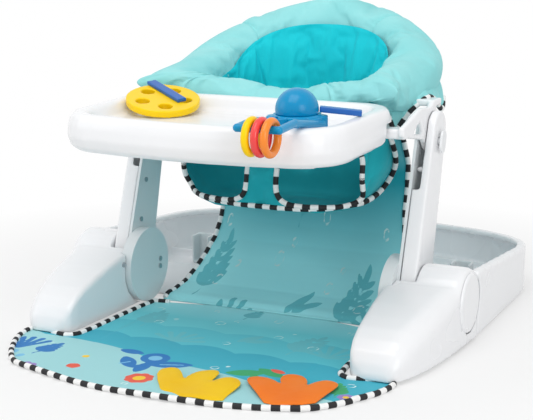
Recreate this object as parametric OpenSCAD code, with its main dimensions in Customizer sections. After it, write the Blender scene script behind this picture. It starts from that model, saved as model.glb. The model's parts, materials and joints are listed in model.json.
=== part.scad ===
// Baby floor seat: a padded seat ring with a tray, on two posts that fold down over a floor base.
// Millimetres, +Z up. The child faces -Y. Left and right are those of a viewer in front of the seat,
// so right is +X. The origin is on the floor, under the middle of the whole object.
// Heights are above the floor, and reaches are measured from the line of the lower hinges.

/* [Base] */
// Overall width of the base
base_w = 594; // [574:2:620]
// Reach of the base behind the hinge line
base_reach = 436; // [420:2:460]
// Height of the side walls at the hinge
wall_front_h = 93; // [88:1:96]
// Height of the wall at the rear
wall_rear_h = 60; // [52:1:66]
// Thickness of the moulded walls
wall_t = 3; // [2.4:0.2:3.6]
// Width of the rolled rim
rim_w = 13; // [10:0.5:15]
// Depth of the rolled rim
rim_h = 9; // [7:0.5:11]
// Squareness of the rear corners, 2 is an ellipse
rear_power = 2.5; // [2.2:0.1:3]

/* [Feet] */
// Reach of the toes in front of the hinge line
foot_reach = 198; // [186:2:214]
// Clear gap between the two feet
foot_gap = 388; // [384:1:392]
// Height of the ridge where the post enters the foot
ridge_h = 85; // [80:1:90]
// Height of the lower hinge
hinge_h = 57; // [56:1:62]
// Radius of the hinge barrel
barrel_r = 46; // [42:1:48]
// Diameter of the hinge axle
axle_d = 16; // [12:1:18]
// Radius of the round cap on the barrel
cap_r = 40; // [34:1:42]
// Thickness of the round cap
cap_t = 2.5; // [2:0.5:4]
// Radius of the hub disc
disc_r = 54; // [50:1:54.5]

/* [Posts] */
// Clear gap between the inner covers of the posts
post_gap = 406; // [404:1:408]
// Width of a post, across the object
post_w = 26; // [25:1:30]
// Distance from the lower hinge to the seat pivot
post_len = 224; // [218:1:230]
// Lean of a post from the vertical
post_lean = 16; // [14:0.5:18]
// Radius of the round lower end
post_foot_r = 36; // [34:1:38]
// Radius of the round upper end
post_top_r = 25; // [24:0.5:26]
// Thickness of the inner cover
cover_t = 4; // [3:0.5:4.5]
// Diameter of the seat pivot pin
pivot_d = 10; // [8:1:12]
// Travel of the release button
button_travel = 3; // [2:0.5:4]

/* [Seat ring] */
// Half the width of the ring, to the middle of its padding
ring_half_w = 155; // [152:1:158]
// Reach of the front bar behind the hinge line
ring_front = 43; // [42:1:50]
// Reach of the rear bar behind the hinge line
ring_rear = 262; // [250:1:275]
// Height of the padding's top at the front bar
ring_front_top = 320; // [316:1:330]
// Height of the padding's top at the rear crown
ring_crown_top = 430; // [410:1:450]
// Radius of the padding round the hoop
sleeve_r = 38; // [34:1:40]
// Diameter of the steel hoop in the padding
hoop_d = 18; // [14:1:20]

/* [Seat pouch] */
// Height of the lowest part of the pouch
pouch_low = 152; // [140:2:165]
// Thickness of the pouch cloth, with its lining
pouch_t = 3; // [2:0.5:4]
// Width of one leg opening
leg_w = 96; // [80:2:100]
// Width of the crotch panel between the leg openings
crotch_w = 44; // [36:2:56]

/* [Tray] */
// Width of the tray's rim
tray_w = 382; // [364:2:388]
// Reach of the tray in front of the hinge line
tray_reach = 242; // [220:2:260]
// Depth of the tray, front to back
tray_depth = 244; // [236:2:246]
// Height of the rim at the front
tray_top = 304; // [300:1:308]
// Slope of the tray, rising to the rear, in degrees
tray_slope = 1.8; // [1:0.1:2]
// Depth of the skirt below the rim
skirt_h = 47; // [43:1:50]
// Depth of the tray's recess
recess_h = 20; // [16:1:20]
// Bulge of the skirt beyond the rim
skirt_bulge = 4; // [2:0.5:5]
// Width of the flat rim
tray_rim_w = 20; // [14:1:24]

/* [Mat] */
// Reach of the mat in front of the hinge line
mat_reach = 356; // [346:2:370]
// Width of the front of the mat
mat_w = 540; // [520:2:560]
// Width of the mat between the feet
mat_neck_w = 362; // [340:2:368]
// Thickness of the mat
mat_t = 2.6; // [2:0.2:3]
// Width of the upright panel behind the child's legs
panel_w = 312; // [290:2:320]
// Reach of the upright panel behind the hinge line
panel_reach = 170; // [164:1:174]

/* [Toys] */
// Radius of the yellow disc
disc_toy_r = 50; // [42:1:52]
// Thickness of the yellow disc
disc_toy_t = 9; // [7:0.5:10]
// Outer diameter of the three rings
toy_ring_d = 47; // [42:1:50]
// Thickness of the three rings
toy_ring_t = 9.5; // [7:0.5:10]
// Radius of the dome of the rattle
dome_r = 27; // [22:1:30]

/* [Hidden] */
$fn = 48;
white = [0.93, 0.93, 0.94];
cool_white = [0.86, 0.88, 0.9];
steel = [0.7, 0.71, 0.73];
aqua = [0.58, 0.86, 0.83];
turquoise = [0.1, 0.75, 0.78];

// Running clearances: fit is the radial gap of a pin in its bore, gap keeps soft from hard pieces
fit = 0.05;
gap = 0.4;
slack = 1;

half_w = base_w / 2;
// The rubber pads are high enough for the mat to pass under the toes
pad_h = mat_t + 0.6;
// The origin lies halfway between the front of the mat and the rear of the base
// The piping adds 6 mm in front of the mat
hinge_y = (mat_reach + 6 - base_reach) / 2;
seam_y = 30;
pan_floor_t = 3;
foot_in = foot_gap / 2;
post_in = post_gap / 2;
post_out = post_in + post_w;
shell_in = post_in + cover_t;
slot_in = post_out + slack * 2;
barrel_face = half_w - 2.5;
pivot = [post_len * sin(post_lean), hinge_h + post_len * cos(post_lean)];
plate_in = shell_in + 2;
plate_t = 8;
plate_out = plate_in + plate_t;
dome_plate_r = post_top_r + 6;

module at_hinge() translate([0, hinge_y, 0]) children();
// Turns a flat shape drawn in (y, z) so that it stands across X, from x0 over a width
module across(x0, w) translate([x0, 0, 0]) rotate([90, 0, 90]) linear_extrude(w) children();
module left_of() mirror([1, 0, 0]) children();
module rod(x0, w, y, z, r) translate([x0, y, z]) rotate([0, 90, 0]) cylinder(r = r, h = w);

// ---- base pan ----
// Half breadth of the rear outline of the base, drawn in by a wall thickness
function rear_x(y, inset) = let (y0 = base_reach - 190, b = base_reach - inset - y0)
    y <= y0 ? half_w - inset
            : (half_w - inset) * pow(max(0, 1 - pow((y - y0) / b, rear_power)), 1 / rear_power);
function pan_outline(inset, y_start) = let (y0 = base_reach - 190, b = base_reach - inset - y0,
    curve = [for (a = [0:6:90]) y0 + b * pow(sin(a), 2 / rear_power)],
    right = concat([[half_w - inset, y_start]], [for (y = curve) [rear_x(y, inset), y]]))
    concat(right, [for (k = [len(right) - 2:-1:0]) [-right[k][0], right[k][1]]]);
module pan_plate(inset, h, y_start = seam_y) linear_extrude(h) polygon(pan_outline(inset, y_start));
// A slab that follows the sloping top of the walls, from depth d0 to depth d1 below it
module slope_slab(d0, d1) across(-half_w - 5, base_w + 10)
    polygon([[seam_y - 5, wall_front_h - d1], [base_reach + 5, wall_rear_h - d1],
        [base_reach + 5, wall_rear_h - d0], [seam_y - 5, wall_front_h - d0]]);
module pan_rib(y, h) translate([-rear_x(y, wall_t + 1), y, pad_h + pan_floor_t])
    cube([2 * rear_x(y, wall_t + 1), wall_t, h]);
rib_h = 12;
rib_reaches = [250, 310, 370];

module base_pan() color(white) at_hinge() difference() {
    union() {
        difference() {
            translate([0, 0, pad_h]) pan_plate(0, wall_front_h);
            translate([0, 0, pad_h + pan_floor_t]) pan_plate(wall_t, wall_front_h, seam_y - 1);
            slope_slab(-60, 0);
        }
        intersection() {
            difference() {
                pan_plate(0.5, wall_front_h + 5);
                translate([0, 0, -1]) pan_plate(rim_w, wall_front_h + 7, seam_y - 1);
            }
            slope_slab(0, rim_h);
        }
        for (y = rib_reaches) pan_rib(y, rib_h);
    }
    // bites for the rear halves of the round hinge caps
    for (m = [0, 1]) mirror([m, 0, 0]) rod(barrel_face - cap_t - 0.3, 20, 0, hinge_h, cap_r + 0.3);
}

// ---- storage clips ----
clip_w = 30;
clip_reach = 236;
clip_h = 46;
module storage_clip() color(cool_white) at_hinge()
    translate([post_in + (post_w - clip_w) / 2, clip_reach, pad_h + pan_floor_t]) {
        for (x = [0, clip_w - wall_t]) translate([x, -24, 0]) cube([wall_t, 24, clip_h]);
        translate([0, -wall_t, 0]) cube([clip_w, wall_t, clip_h]);
        translate([0, -24, 0]) cube([clip_w, 24, wall_t]);
    }

// ---- feet ----
post_slot_r = post_foot_r + 2;
// Outer edge of the foot in plan, drawn in towards the toe
function foot_out(y) = let (t = (seam_y - y) / (seam_y + foot_reach))
    half_w - 12 * t - 22 * pow(t, 4);
// Side view of the foot, from its bottom to its top
// The top of the foot: [share of the way from the toe to the ridge, share of the ridge's height]
foot_shape = [[0, 0.13], [0.026, 0.28], [0.077, 0.435], [0.161, 0.565], [0.277, 0.67], [0.439, 0.765],
    [0.632, 0.86], [0.826, 0.935], [1, 0.994]];
ridge_y = -43;
ridge_turn = asin((ridge_h - hinge_h) / barrel_r);
// Side line of the foot's top, [y, z], drawn in by inset
function foot_line(inset) = concat(
    [for (p = foot_shape) [-foot_reach + inset + p[0] * (foot_reach + ridge_y - inset), p[1] * ridge_h - inset]],
    [for (k = [0:7]) let (a = 180 - ridge_turn - k * (180 - ridge_turn - acos(seam_y / barrel_r)) / 7)
        [k < 7 ? barrel_r * cos(a) : seam_y - inset, hinge_h + barrel_r * sin(a) - inset]]);
// Rounding of the toe's corners in plan, and the inner and outer edge of the foot
function toe_round(y, inset) = let (d = max(0, min(20, y + foot_reach - inset)))
    20 - sqrt(400 - (20 - d) * (20 - d));
function foot_x_in(y, inset) = foot_in + inset + max(0, -y - 70) * 0.04 + toe_round(y, inset);
function foot_x_out(y, inset) = foot_out(y) - inset - 0.55 * toe_round(y, inset);
module foot_plan(inset) {
    line = foot_line(inset);
    n = len(line);
    polygon(concat([for (k = [n - 1:-1:0]) [foot_x_in(line[k][0], inset), line[k][0]]],
        [for (k = [0:n - 1]) [foot_x_out(line[k][0], inset), line[k][0]]]));
}
// The foot's body in upright sections, with soft edges along its top
module foot_block(inset) {
    line = foot_line(inset);
    low = pad_h - (inset > 0 ? 5 : 0);
    loft([for (p = line) let (x0 = foot_x_in(p[0], inset), x1 = foot_x_out(p[0], inset),
        ri = min(6, (p[1] - low) * 0.4), ramp = min(1, max(0, (-36 - p[0]) / 14)),
        ro = min(12 + 14 * ramp, (p[1] - low) * 0.5))
        concat([[x0, p[0], low]],
            [for (a = [180:-30:90]) [x0 + ri + ri * cos(a), p[0], p[1] - ri + ri * sin(a)]],
            [for (a = [90:-18:0]) [x1 - ro + ro * cos(a), p[0], p[1] - ro + ro * sin(a)]],
            [[x1, p[0], low]])]);
}
boss_r = axle_d / 2 + 5;
module foot() color(white) at_hinge() {
    difference() {
        union() {
            difference() {
                foot_block(0);
                difference() {
                    translate([0, 0, -1]) foot_block(wall_t);
                    // walls that stay: round the post's slot, and the barrel's inner face
                    rod(foot_in, slot_in + wall_t - foot_in, 0, hinge_h, post_slot_r + wall_t);
                    across(foot_in, slot_in + wall_t - foot_in)
                        polygon([[0, 0], [seam_y + 1, 0], [seam_y + 1, 200], [-38, 200], [-41, 60]]);
                    across(slot_in, wall_t)
                        polygon([[-foot_reach, plate_z + wall_t + 0.2], [-49, plate_z + wall_t + 0.2],
                            [-49, 0], [seam_y, 0], [seam_y, 200], [-foot_reach, 200]]);
                }
            }
            rod(slot_in, barrel_face - slot_in - wall_t, 0, hinge_h, boss_r);
        }
        // the post's slot, open to the rear
        rod(foot_in - 1, slot_in - foot_in + 1, 0, hinge_h, post_slot_r);
        across(foot_in - 1, slot_in - foot_in + 1)
            polygon([[-post_slot_r, hinge_h], [-post_slot_r - 1, 64], [-30, 112], [seam_y + 1, 112],
                [seam_y + 1, pad_h + pan_floor_t], [0, pad_h + pan_floor_t],
                [0, hinge_h - post_slot_r]]);
        // room for the hub disc
        rod(foot_in - 1, post_in - foot_in + 1, 0, hinge_h, disc_r + slack);
        // bore of the axle, and the seat of the round cap
        rod(slot_in - 1, barrel_face - slot_in - 2, 0, hinge_h, axle_d / 2 + fit);
        rod(barrel_face - cap_t, 20, 0, hinge_h, cap_r + 0.3);
        for (p = foot_screw_at) rod(foot_in - 1, wall_t + 2, p[0], p[1], screw_r + fit);
    }
}
// Plate that closes the foot from below
plate_z = pad_h;
cover_hole_at = [[foot_in + 26, -foot_reach + 40], [foot_in + 26, -70], [(slot_in + wall_t + half_w) / 2, -90]];
module foot_cover() color(cool_white) at_hinge() difference() {
    intersection() {
        translate([0, 0, plate_z]) linear_extrude(wall_t) foot_plan(wall_t + 0.1);
        translate([foot_in, -foot_reach + 8, 0]) cube([half_w, foot_reach - post_slot_r - 20, 20]);
    }
    for (p = cover_hole_at) translate([p[0], p[1], 0]) cylinder(r = screw_r + fit, h = 20);
}

// ---- screws ----
screw_r = 1.6;
head_r = 3.6;
head_h = 1.8;
foot_screw_at = [[-60, 69]];
module screw_x(x, y, z, len) {
    rod(x - head_h, head_h, y, z, head_r);
    rod(x, len, y, z, screw_r);
}
module foot_screw_set() at_hinge() for (p = foot_screw_at) screw_x(foot_in, p[0], p[1], 8);
module foot_screws() color(steel) {
    foot_screw_set();
    left_of() foot_screw_set();
}
module cover_plate_screw_set() at_hinge() for (p = cover_hole_at) translate([p[0], p[1], 0]) {
    translate([0, 0, plate_z - head_h + 0.4]) cylinder(r = head_r, h = head_h - 0.4);
    translate([0, 0, plate_z]) cylinder(r = screw_r, h = 9);
}
module cover_plate_screws() color(steel) {
    cover_plate_screw_set();
    left_of() cover_plate_screw_set();
}

// ---- caps, axles, pads ----
module hinge_cap() color(cool_white) at_hinge() difference() {
    rod(barrel_face - cap_t, cap_t + 1.5, 0, hinge_h, cap_r);
    translate([barrel_face + 1.5, 0, hinge_h]) rotate([0, 90, 0]) rotate_extrude()
        translate([cap_r + 2, 0]) circle(r = 3.5);
}
axle_in = foot_in - 1.5;
module hinge_axle() color(steel) at_hinge() {
    rod(axle_in, barrel_face - wall_t - 1 - axle_in, 0, hinge_h, axle_d / 2);
}
pad_r = 9;
pad_at = [[half_w - 28, seam_y + 40], [half_w - 50, base_reach - 120], [90, base_reach - 26]];
foot_pad_at = [[foot_in + 46, -foot_reach + 48], [half_w - 28, -72]];
module pad_set() at_hinge() for (p = concat(pad_at, foot_pad_at))
    translate([p[0], p[1], 0]) cylinder(r = pad_r, h = pad_h);
module rubber_pads() color([0.25, 0.25, 0.27]) {
    pad_set();
    left_of() pad_set();
}

// ---- posts ----
function along(d, off) = [0, hinge_h] + d * [sin(post_lean), cos(post_lean)]
    + off * [-cos(post_lean), sin(post_lean)];
// Side view of a post: two arcs and the tangents that join them
module post_side(inset) {
    taper = asin((post_foot_r - post_top_r) / post_len);
    r0 = post_foot_r - inset;
    r1 = post_top_r - inset;
    polygon(concat([for (k = [0:26]) let (t = 180 - taper + k * (180 + 2 * taper) / 26)
            along(r0 * sin(t), r0 * cos(t))],
        [for (k = [0:20]) let (t = taper + k * (180 - 2 * taper) / 20)
            along(post_len + r1 * sin(t), r1 * cos(t))]));
}
post_screw_at = [for (d = [64, 122, 168]) along(d, 0.5 * post_top_r)];
screw_boss_r = 4;
slot_low = 140;
slot_in_r = post_top_r - 6;
button_at = along(post_len - 16, 1);
button_stem_r = 5;
module post() color(white) at_hinge() {
    difference() {
        union() {
            difference() {
                across(shell_in, post_out - shell_in) post_side(0);
                across(shell_in - 1, post_out - shell_in + 1 - wall_t) post_side(wall_t);
            }
            rod(shell_in, post_out - shell_in, 0, hinge_h, boss_r);
            rod(plate_out + slack, post_out - plate_out - slack, pivot[0], pivot[1], pivot_d / 2 + 4);
            for (p = post_screw_at) rod(shell_in, post_w - cover_t - 1, p[0], p[1], screw_boss_r);
        }
        rod(shell_in - 1, post_w + 2, 0, hinge_h, axle_d / 2 + fit);
        rod(shell_in, post_out - wall_t - shell_in, pivot[0], pivot[1], pivot_d / 2 + fit);
        for (p = post_screw_at) rod(shell_in - 1, 10, p[0], p[1], screw_r + fit);
        // way in for the seat bracket: its dome, and the arm that folds into the front
        rod(shell_in - 1, plate_out + slack - shell_in + 1, pivot[0], pivot[1], dome_plate_r + slack);
        across(shell_in - 1, plate_out + slack - shell_in + 1) polygon([along(slot_low, slot_in_r),
            along(slot_low, 60), along(post_len, 60), along(post_len, 4), along(post_len - 38, 6),
            along(post_len - 50, slot_in_r)]);
        rod(post_out - wall_t - 1, wall_t + 2, button_at[0], button_at[1], button_stem_r + fit);
    }
}
module post_cover() color(cool_white) at_hinge() difference() {
    across(post_in, cover_t) post_side(0);
    rod(post_in - 1, cover_t + 2, 0, hinge_h, axle_d / 2 + fit);
    rod(post_in - 1, cover_t + 2, pivot[0], pivot[1], pivot_d / 2 + fit);
    for (p = concat(post_screw_at, disc_screw_at))
        rod(post_in - 1, cover_t + 2, p[0], p[1], screw_r + fit);
}
disc_screw_at = [for (a = [4, -17]) [0, hinge_h] + (post_foot_r - 6) * [cos(a), sin(a)]];
disc_in = foot_in - 8;
module hub_disc() color(cool_white) at_hinge() difference() {
    rod(disc_in, post_in - disc_in, 0, hinge_h, disc_r);
    rod(disc_in + wall_t - 0.5, post_in, 0, hinge_h, axle_d / 2 + fit);
    for (p = disc_screw_at) rod(disc_in - 1, post_in, p[0], p[1], screw_r + fit);
}
module post_screw_set() at_hinge() for (p = post_screw_at) screw_x(post_in, p[0], p[1], 12);
module post_screws() color(steel) {
    post_screw_set();
    left_of() post_screw_set();
}
module disc_screw_set() at_hinge() for (p = disc_screw_at)
    screw_x(disc_in, p[0], p[1], post_in + cover_t - disc_in);
module hub_disc_screws() color(steel) {
    disc_screw_set();
    left_of() disc_screw_set();
}
module pivot_pin() color(steel) at_hinge()
    rod(post_in, post_out - wall_t - post_in - 0.2, pivot[0], pivot[1], pivot_d / 2);

// ---- release buttons ----
button_len = 30;
button_r = 9;
button_t = 3;
button_gap = button_travel + 0.5;
module release_button() color([0.8, 0.83, 0.9]) at_hinge() {
    a = along(post_len - 16 - button_len / 2 + button_r, 1);
    b = along(post_len - 16 + button_len / 2 - button_r, 1);
    rod(post_out + button_gap, button_t, a[0], a[1], button_r);
    rod(post_out + button_gap, button_t, b[0], b[1], button_r);
    across(post_out + button_gap, button_t) polygon([a + button_r * [-cos(post_lean), sin(post_lean)],
        a - button_r * [-cos(post_lean), sin(post_lean)],
        b - button_r * [-cos(post_lean), sin(post_lean)],
        b + button_r * [-cos(post_lean), sin(post_lean)]]);
    rod(plate_out + button_travel + 3, post_out + button_gap - plate_out - button_travel - 3,
        button_at[0], button_at[1], button_stem_r);
}

// ---- tray, drawn in its own sloping frame: its front edge at y = 0, its rim at z = 0 ----
module in_tray_frame() at_hinge() translate([0, -tray_reach, tray_top])
    rotate([tray_slope, 0, 0]) children();
tray_half = tray_w / 2;
tray_n = 60;
tray_front_bow = 12;
// One closed outline of the tray, drawn in by an inset
function tray_loop(inset, z) = let (r0 = 62 - inset * 0.5, r1 = 46 - inset * 0.5,
    w = tray_half - inset, y0 = tray_front_bow + inset, y1 = tray_depth - inset)
    concat([for (a = [180:11.25:270]) [-w + r0 + r0 * cos(a), y0 + r0 + r0 * sin(a), z]],
        [for (x = [-4:1:4]) let (u = x / 5) [u * (w - r0), y0 - tray_front_bow * (1 - u * u), z]],
        [for (a = [270:11.25:360]) [w - r0 + r0 * cos(a), y0 + r0 + r0 * sin(a), z]],
        [for (a = [0:15:90]) [w - r1 + r1 * cos(a), y1 - r1 + r1 * sin(a), z]],
        [for (a = [90:15:180]) [-w + r1 + r1 * cos(a), y1 - r1 + r1 * sin(a), z]]);
// A closed solid through a stack of loops with the same number of points
module loft(loops) {
    n = len(loops[0]);
    m = len(loops);
    bottom = [for (k = [0:n - 1]) k];
    top = [for (k = [n - 1:-1:0]) (m - 1) * n + k];
    sides = [for (j = [0:m - 2], k = [0:n - 1], h = [0, 1]) h == 0
        ? [j * n + k, (j + 1) * n + (k + 1) % n, j * n + (k + 1) % n]
        : [j * n + k, (j + 1) * n + k, (j + 1) * n + (k + 1) % n]];
    polyhedron(points = [for (l = loops, p = l) p], faces = concat([bottom], sides, [top]));
}
notch_in = tray_half - 40;
arm_y0 = tray_depth - 50;
module tray() color(white) in_tray_frame() difference() {
    loft([tray_loop(5, -skirt_h), tray_loop(1 - skirt_bulge / 2, -skirt_h + 6),
        tray_loop(-skirt_bulge, -skirt_h + 18), tray_loop(-skirt_bulge + 1.5, -14),
        tray_loop(0, -5), tray_loop(3, -1), tray_loop(6, 0)]);
    loft([tray_loop(tray_rim_w + 14, -recess_h), tray_loop(tray_rim_w + 6, -recess_h + 3),
        tray_loop(tray_rim_w, -3), tray_loop(tray_rim_w - 4, 0), tray_loop(tray_rim_w - 5, 5)]);
    difference() {
        loft([tray_loop(5 + wall_t, -skirt_h - 1), tray_loop(1 + wall_t, -skirt_h + 8),
            tray_loop(wall_t - 2, -skirt_h + 18), tray_loop(wall_t, -16),
            tray_loop(wall_t + 3, -wall_t - 3), tray_loop(wall_t + 6, -wall_t)]);
        translate([0, 0, -wall_t]) loft([tray_loop(tray_rim_w + 12, -recess_h),
            tray_loop(tray_rim_w + 3, -recess_h + 3), tray_loop(tray_rim_w - wall_t, -3),
            tray_loop(tray_rim_w - wall_t - 4, 10)]);
    }
    // notches in the rear of the skirt, for the arms of the brackets
    for (s = [-1, 1]) translate([s > 0 ? notch_in : -notch_in - 60, arm_y0 - 4, -skirt_h - 5])
        cube([60, 80, skirt_h + 5 - recess_h + 0.5]);
}
// Arm of the bracket, and the rail under the tray that it slides in
arm_in = tray_half - 36;
arm_w = 24;
arm_t = 7;
arm_z = -recess_h - wall_t - 5 - arm_t;
arm_len = 84;
module tray_rail() color(cool_white) in_tray_frame() difference() {
    translate([arm_in - 4, arm_y0 - arm_len - 4, arm_z - 4])
        cube([arm_w + 8, arm_len - 4, -recess_h - wall_t - 0.02 - arm_z + 4]);
    translate([arm_in - gap, arm_y0 - arm_len - gap, arm_z - gap])
        cube([arm_w + 2 * gap, arm_len + 20, arm_t + 2 * gap]);
}

// ---- seat brackets ----
// The plate in side view: a dome round the pivot, and a triangular frame that reaches forward
module bracket_side() difference() {
    union() {
        translate(pivot) circle(r = dome_plate_r);
        polygon([pivot + [8, dome_plate_r - 2], pivot + [-46, dome_plate_r + 2],
            [-tray_reach + arm_y0 - 4, tray_top - 16], [-tray_reach + arm_y0 - 4, tray_top - 28],
            pivot + [-35, -10], pivot + [-8, -dome_plate_r + 2]]);
        // web up to the shelf
        polygon([pivot + [-10, dome_plate_r - 4], [upright_y[0] + 2, upright_low + 9],
            [upright_y[0] + 2, upright_low], pivot + [4, dome_plate_r - 4]]);
    }
    polygon([pivot + [-50, 16], pivot + [-78, 3], pivot + [-34, -2]]);
    translate(pivot) circle(r = pivot_d / 2 + fit);
}
module bracket() color(white) {
    at_hinge() {
        difference() {
            across(plate_in, plate_t) bracket_side();
            rod(plate_in - 1, plate_t + 2, pivot[0], pivot[1], pivot_d / 2 + fit);
        }
        // upright that carries the hoop: a shelf over the post, and a block inside the sleeve
        translate([hoop_seat_x, upright_y[0], upright_low])
            cube([plate_out - hoop_seat_x, upright_y[1] - upright_y[0], 9]);
        difference() {
            translate([hoop_seat_x, upright_y[0], upright_low])
                cube([20, upright_y[1] - upright_y[0], upright_top - upright_low]);
            rod(hoop_seat_x - 1, 16, lug[1], lug[2], lug_r + fit);
        }
    }
    in_tray_frame() {
        translate([arm_in, arm_y0, arm_z - 3])
            cube([plate_out - arm_in, 22, arm_t + 6]);
        translate([arm_in, arm_y0 - arm_len, arm_z]) cube([arm_w, arm_len + 1, arm_t]);
    }
}

// ---- seat ring ----
ring_mid = 140;
ring_hollow = 64;
ring_power_front = 6;
ring_power_rear = 2.2;
crown_round = 20;
function ring_uv(a) = let (c = cos(a), s = sin(a), p = s < 0 ? ring_power_front : ring_power_rear,
    r = pow(pow(abs(c), p) + pow(abs(s), p), -1 / p)) [r * c, r * s];
function far(v) = sqrt(v * v + crown_round * crown_round) - crown_round;
// Share of the rise from the front bar to the crown, by the angle from the front
function ring_rise(u, v) = let (phi = 180 - atan2(abs(u), -v))
    pow(max(0, 1 - far(phi) / far(180)), 1.35);
// How much a point belongs to one of the two flat front corners, over the tray
function ring_corner(u, v) = min(1, 1.5 * pow(max(0, -v), 2) * u * u);
function ring_r(u, v) = [1, 1] * (sleeve_r - 8 * max(0, -v))
    - [8, 16.5] * ring_corner(u, v) * (sleeve_r - 8) / 30;
function ring_centre(a) = let (q = ring_uv(a), u = q[0], v = q[1],
    b = v < 0 ? ring_mid - ring_front + ring_hollow : ring_rear - ring_mid,
    hollow = v < 0 ? ring_hollow * (1 - pow(abs(u), 5)) * pow(-v, 3) : 0)
    [ring_half_w * u, ring_mid + b * v + hollow,
        ring_front_top + (ring_crown_top - ring_front_top) * ring_rise(u, v)
        + 5 * ring_corner(u, v) - ring_r(u, v)[1]];
function unit(v) = v / norm(v);
// The lug on the hoop, and the upright of the bracket that holds it
lug_angle = -19;
lug = ring_centre(lug_angle);
lug_r = 6;
upright_y = [lug[1] - 16, lug[1] + 16];
upright_top = lug[2] + 10;
upright_low = pivot[1] + post_top_r + 4;
// Outward stretch of the padding, whose front corners are flaps over the arms beside the tray
flap_reach = 1.5;
function ring_flap(u, v) = flap_reach * pow(max(0, -v), 4) * pow(abs(u), 6);
// A tube round the centre line, cut in upright planes through the middle of the ring: share is
// that of the padding's own radii, and add comes on top
module ring_tube(n, sides, share, add) {
    pts = [for (k = [0:n - 1]) let (a = 360 * k / n, c = ring_centre(a), q = ring_uv(a),
        t = unit(ring_centre(a + 2) - ring_centre(a - 2)), m = unit([t[1], -t[0], 0]),
        o = unit([c[0], c[1] - ring_mid, 0]), wide = min(1.6, 1 / (o * m)),
        r = share * ring_r(q[0], q[1]) + [add, add])
        for (j = [0:sides - 1]) let (b = 360 * (j + 0.5) / sides,
            reach = cos(b) > 0 ? 1 + share * ring_flap(q[0], q[1]) : 1)
            c + r[0] * wide * reach * cos(b) * o + [0, 0, r[1] * sin(b)]];
    faces = [for (k = [0:n - 1], j = [0:sides - 1], h = [0, 1]) let (k1 = (k + 1) % n,
        j1 = (j + 1) % sides) h == 0
        ? [k * sides + j, k * sides + j1, k1 * sides + j1]
        : [k * sides + j, k1 * sides + j1, k1 * sides + j]];
    polyhedron(points = pts, faces = faces);
}
ring_n = 48;
hoop_sides = 8;
module seat_hoop() color(steel) at_hinge() {
    ring_tube(ring_n, hoop_sides, 0, hoop_d / 2);
    for (m = [0, 1]) mirror([m, 0, 0]) rod(lug[0], 18, lug[1], lug[2], lug_r);
}
hoop_seat_x = ring_half_w + hoop_d / 2 + 1;
module ring_sleeve() color(aqua) at_hinge() difference() {
    ring_tube(ring_n, 14, 1, 0);
    ring_tube(ring_n, hoop_sides, 0, hoop_d / 2 + gap);
    for (m = [0, 1]) mirror([m, 0, 0]) {
        translate([hoop_seat_x - slack, upright_y[0] - slack, pivot[1] - 60])
            cube([80, upright_y[1] - upright_y[0] + 2 * slack, upright_top + slack - pivot[1] + 60]);
        rod(lug[0], 20, lug[1], lug[2], lug_r + gap);
    }
}

// ---- pouch and liner ----
function squircle(a, w, y0, y1, p) = let (c = cos(a), s = sin(a),
    r = pow(pow(abs(c), p) + pow(abs(s), p), -1 / p))
    [w * r * c, (y0 + y1) / 2 + (y1 - y0) / 2 * r * s];
cloth_n = 36;
// level: [height, half width, front reach, rear reach]
function cloth_loop(l, inset, p) = [for (k = [0:cloth_n - 1]) let (a = 360 * k / cloth_n,
    q = squircle(a, l[1] - inset, l[2] + inset, l[3] - inset, p)) [q[0], q[1], l[0]]];
pouch_top = 276;
pouch_levels = [[pouch_low, 84, -4, 100], [pouch_low + 10, 104, -14, 118],
    [205, 140, -12, 136], [245, 158, 2, 142], [pouch_top, 154, 12, 140]];
leg_low = pouch_low + 14;
leg_h = 84;
module leg_opening() translate([crotch_w / 2 + leg_w / 2, -40, leg_low + leg_h / 2])
    rotate([-90, 0, 0]) linear_extrude(75) polygon([for (a = [0:15:345])
        squircle(a, leg_w / 2, -leg_h / 2, leg_h / 2, 3)]);
module seat_pouch() color(turquoise) at_hinge() difference() {
    loft([for (l = pouch_levels) cloth_loop(l, 0, 2.6)]);
    translate([0, 0, pouch_t]) loft(concat([for (l = pouch_levels) cloth_loop(l, pouch_t, 2.6)],
        [cloth_loop([pouch_top + 5, 154, 12, 140], pouch_t, 2.6)]));
    leg_opening();
    left_of() leg_opening();
}
// Lining of the ring's opening, from the pouch up to the padding's inner edge
liner_in = ring_half_w - sleeve_r - 2;
function liner_z(v, share) = let (top = ring_front_top - 14
    + (ring_crown_top - ring_front_top - 22) * pow((v + 1) / 2, 1.3)) pouch_top + 0.3
    + share * (top - pouch_top - 0.3);
function liner_loop(share, inset) = [for (k = [0:cloth_n - 1]) let (a = 360 * k / cloth_n,
    q = squircle(a, liner_in - inset, ring_front + sleeve_r - 6 + inset,
        ring_rear - sleeve_r - 2 - inset - 34 * (1 - share), 2.4),
    v = sin(a)) [q[0], q[1], liner_z(v, share)]];
module seat_liner() color(turquoise) at_hinge() difference() {
    loft([for (s = [0:0.25:1]) liner_loop(s, 0)]);
    loft([for (s = [-0.1:0.25:1.2]) liner_loop(s, pouch_t)]);
}

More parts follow.
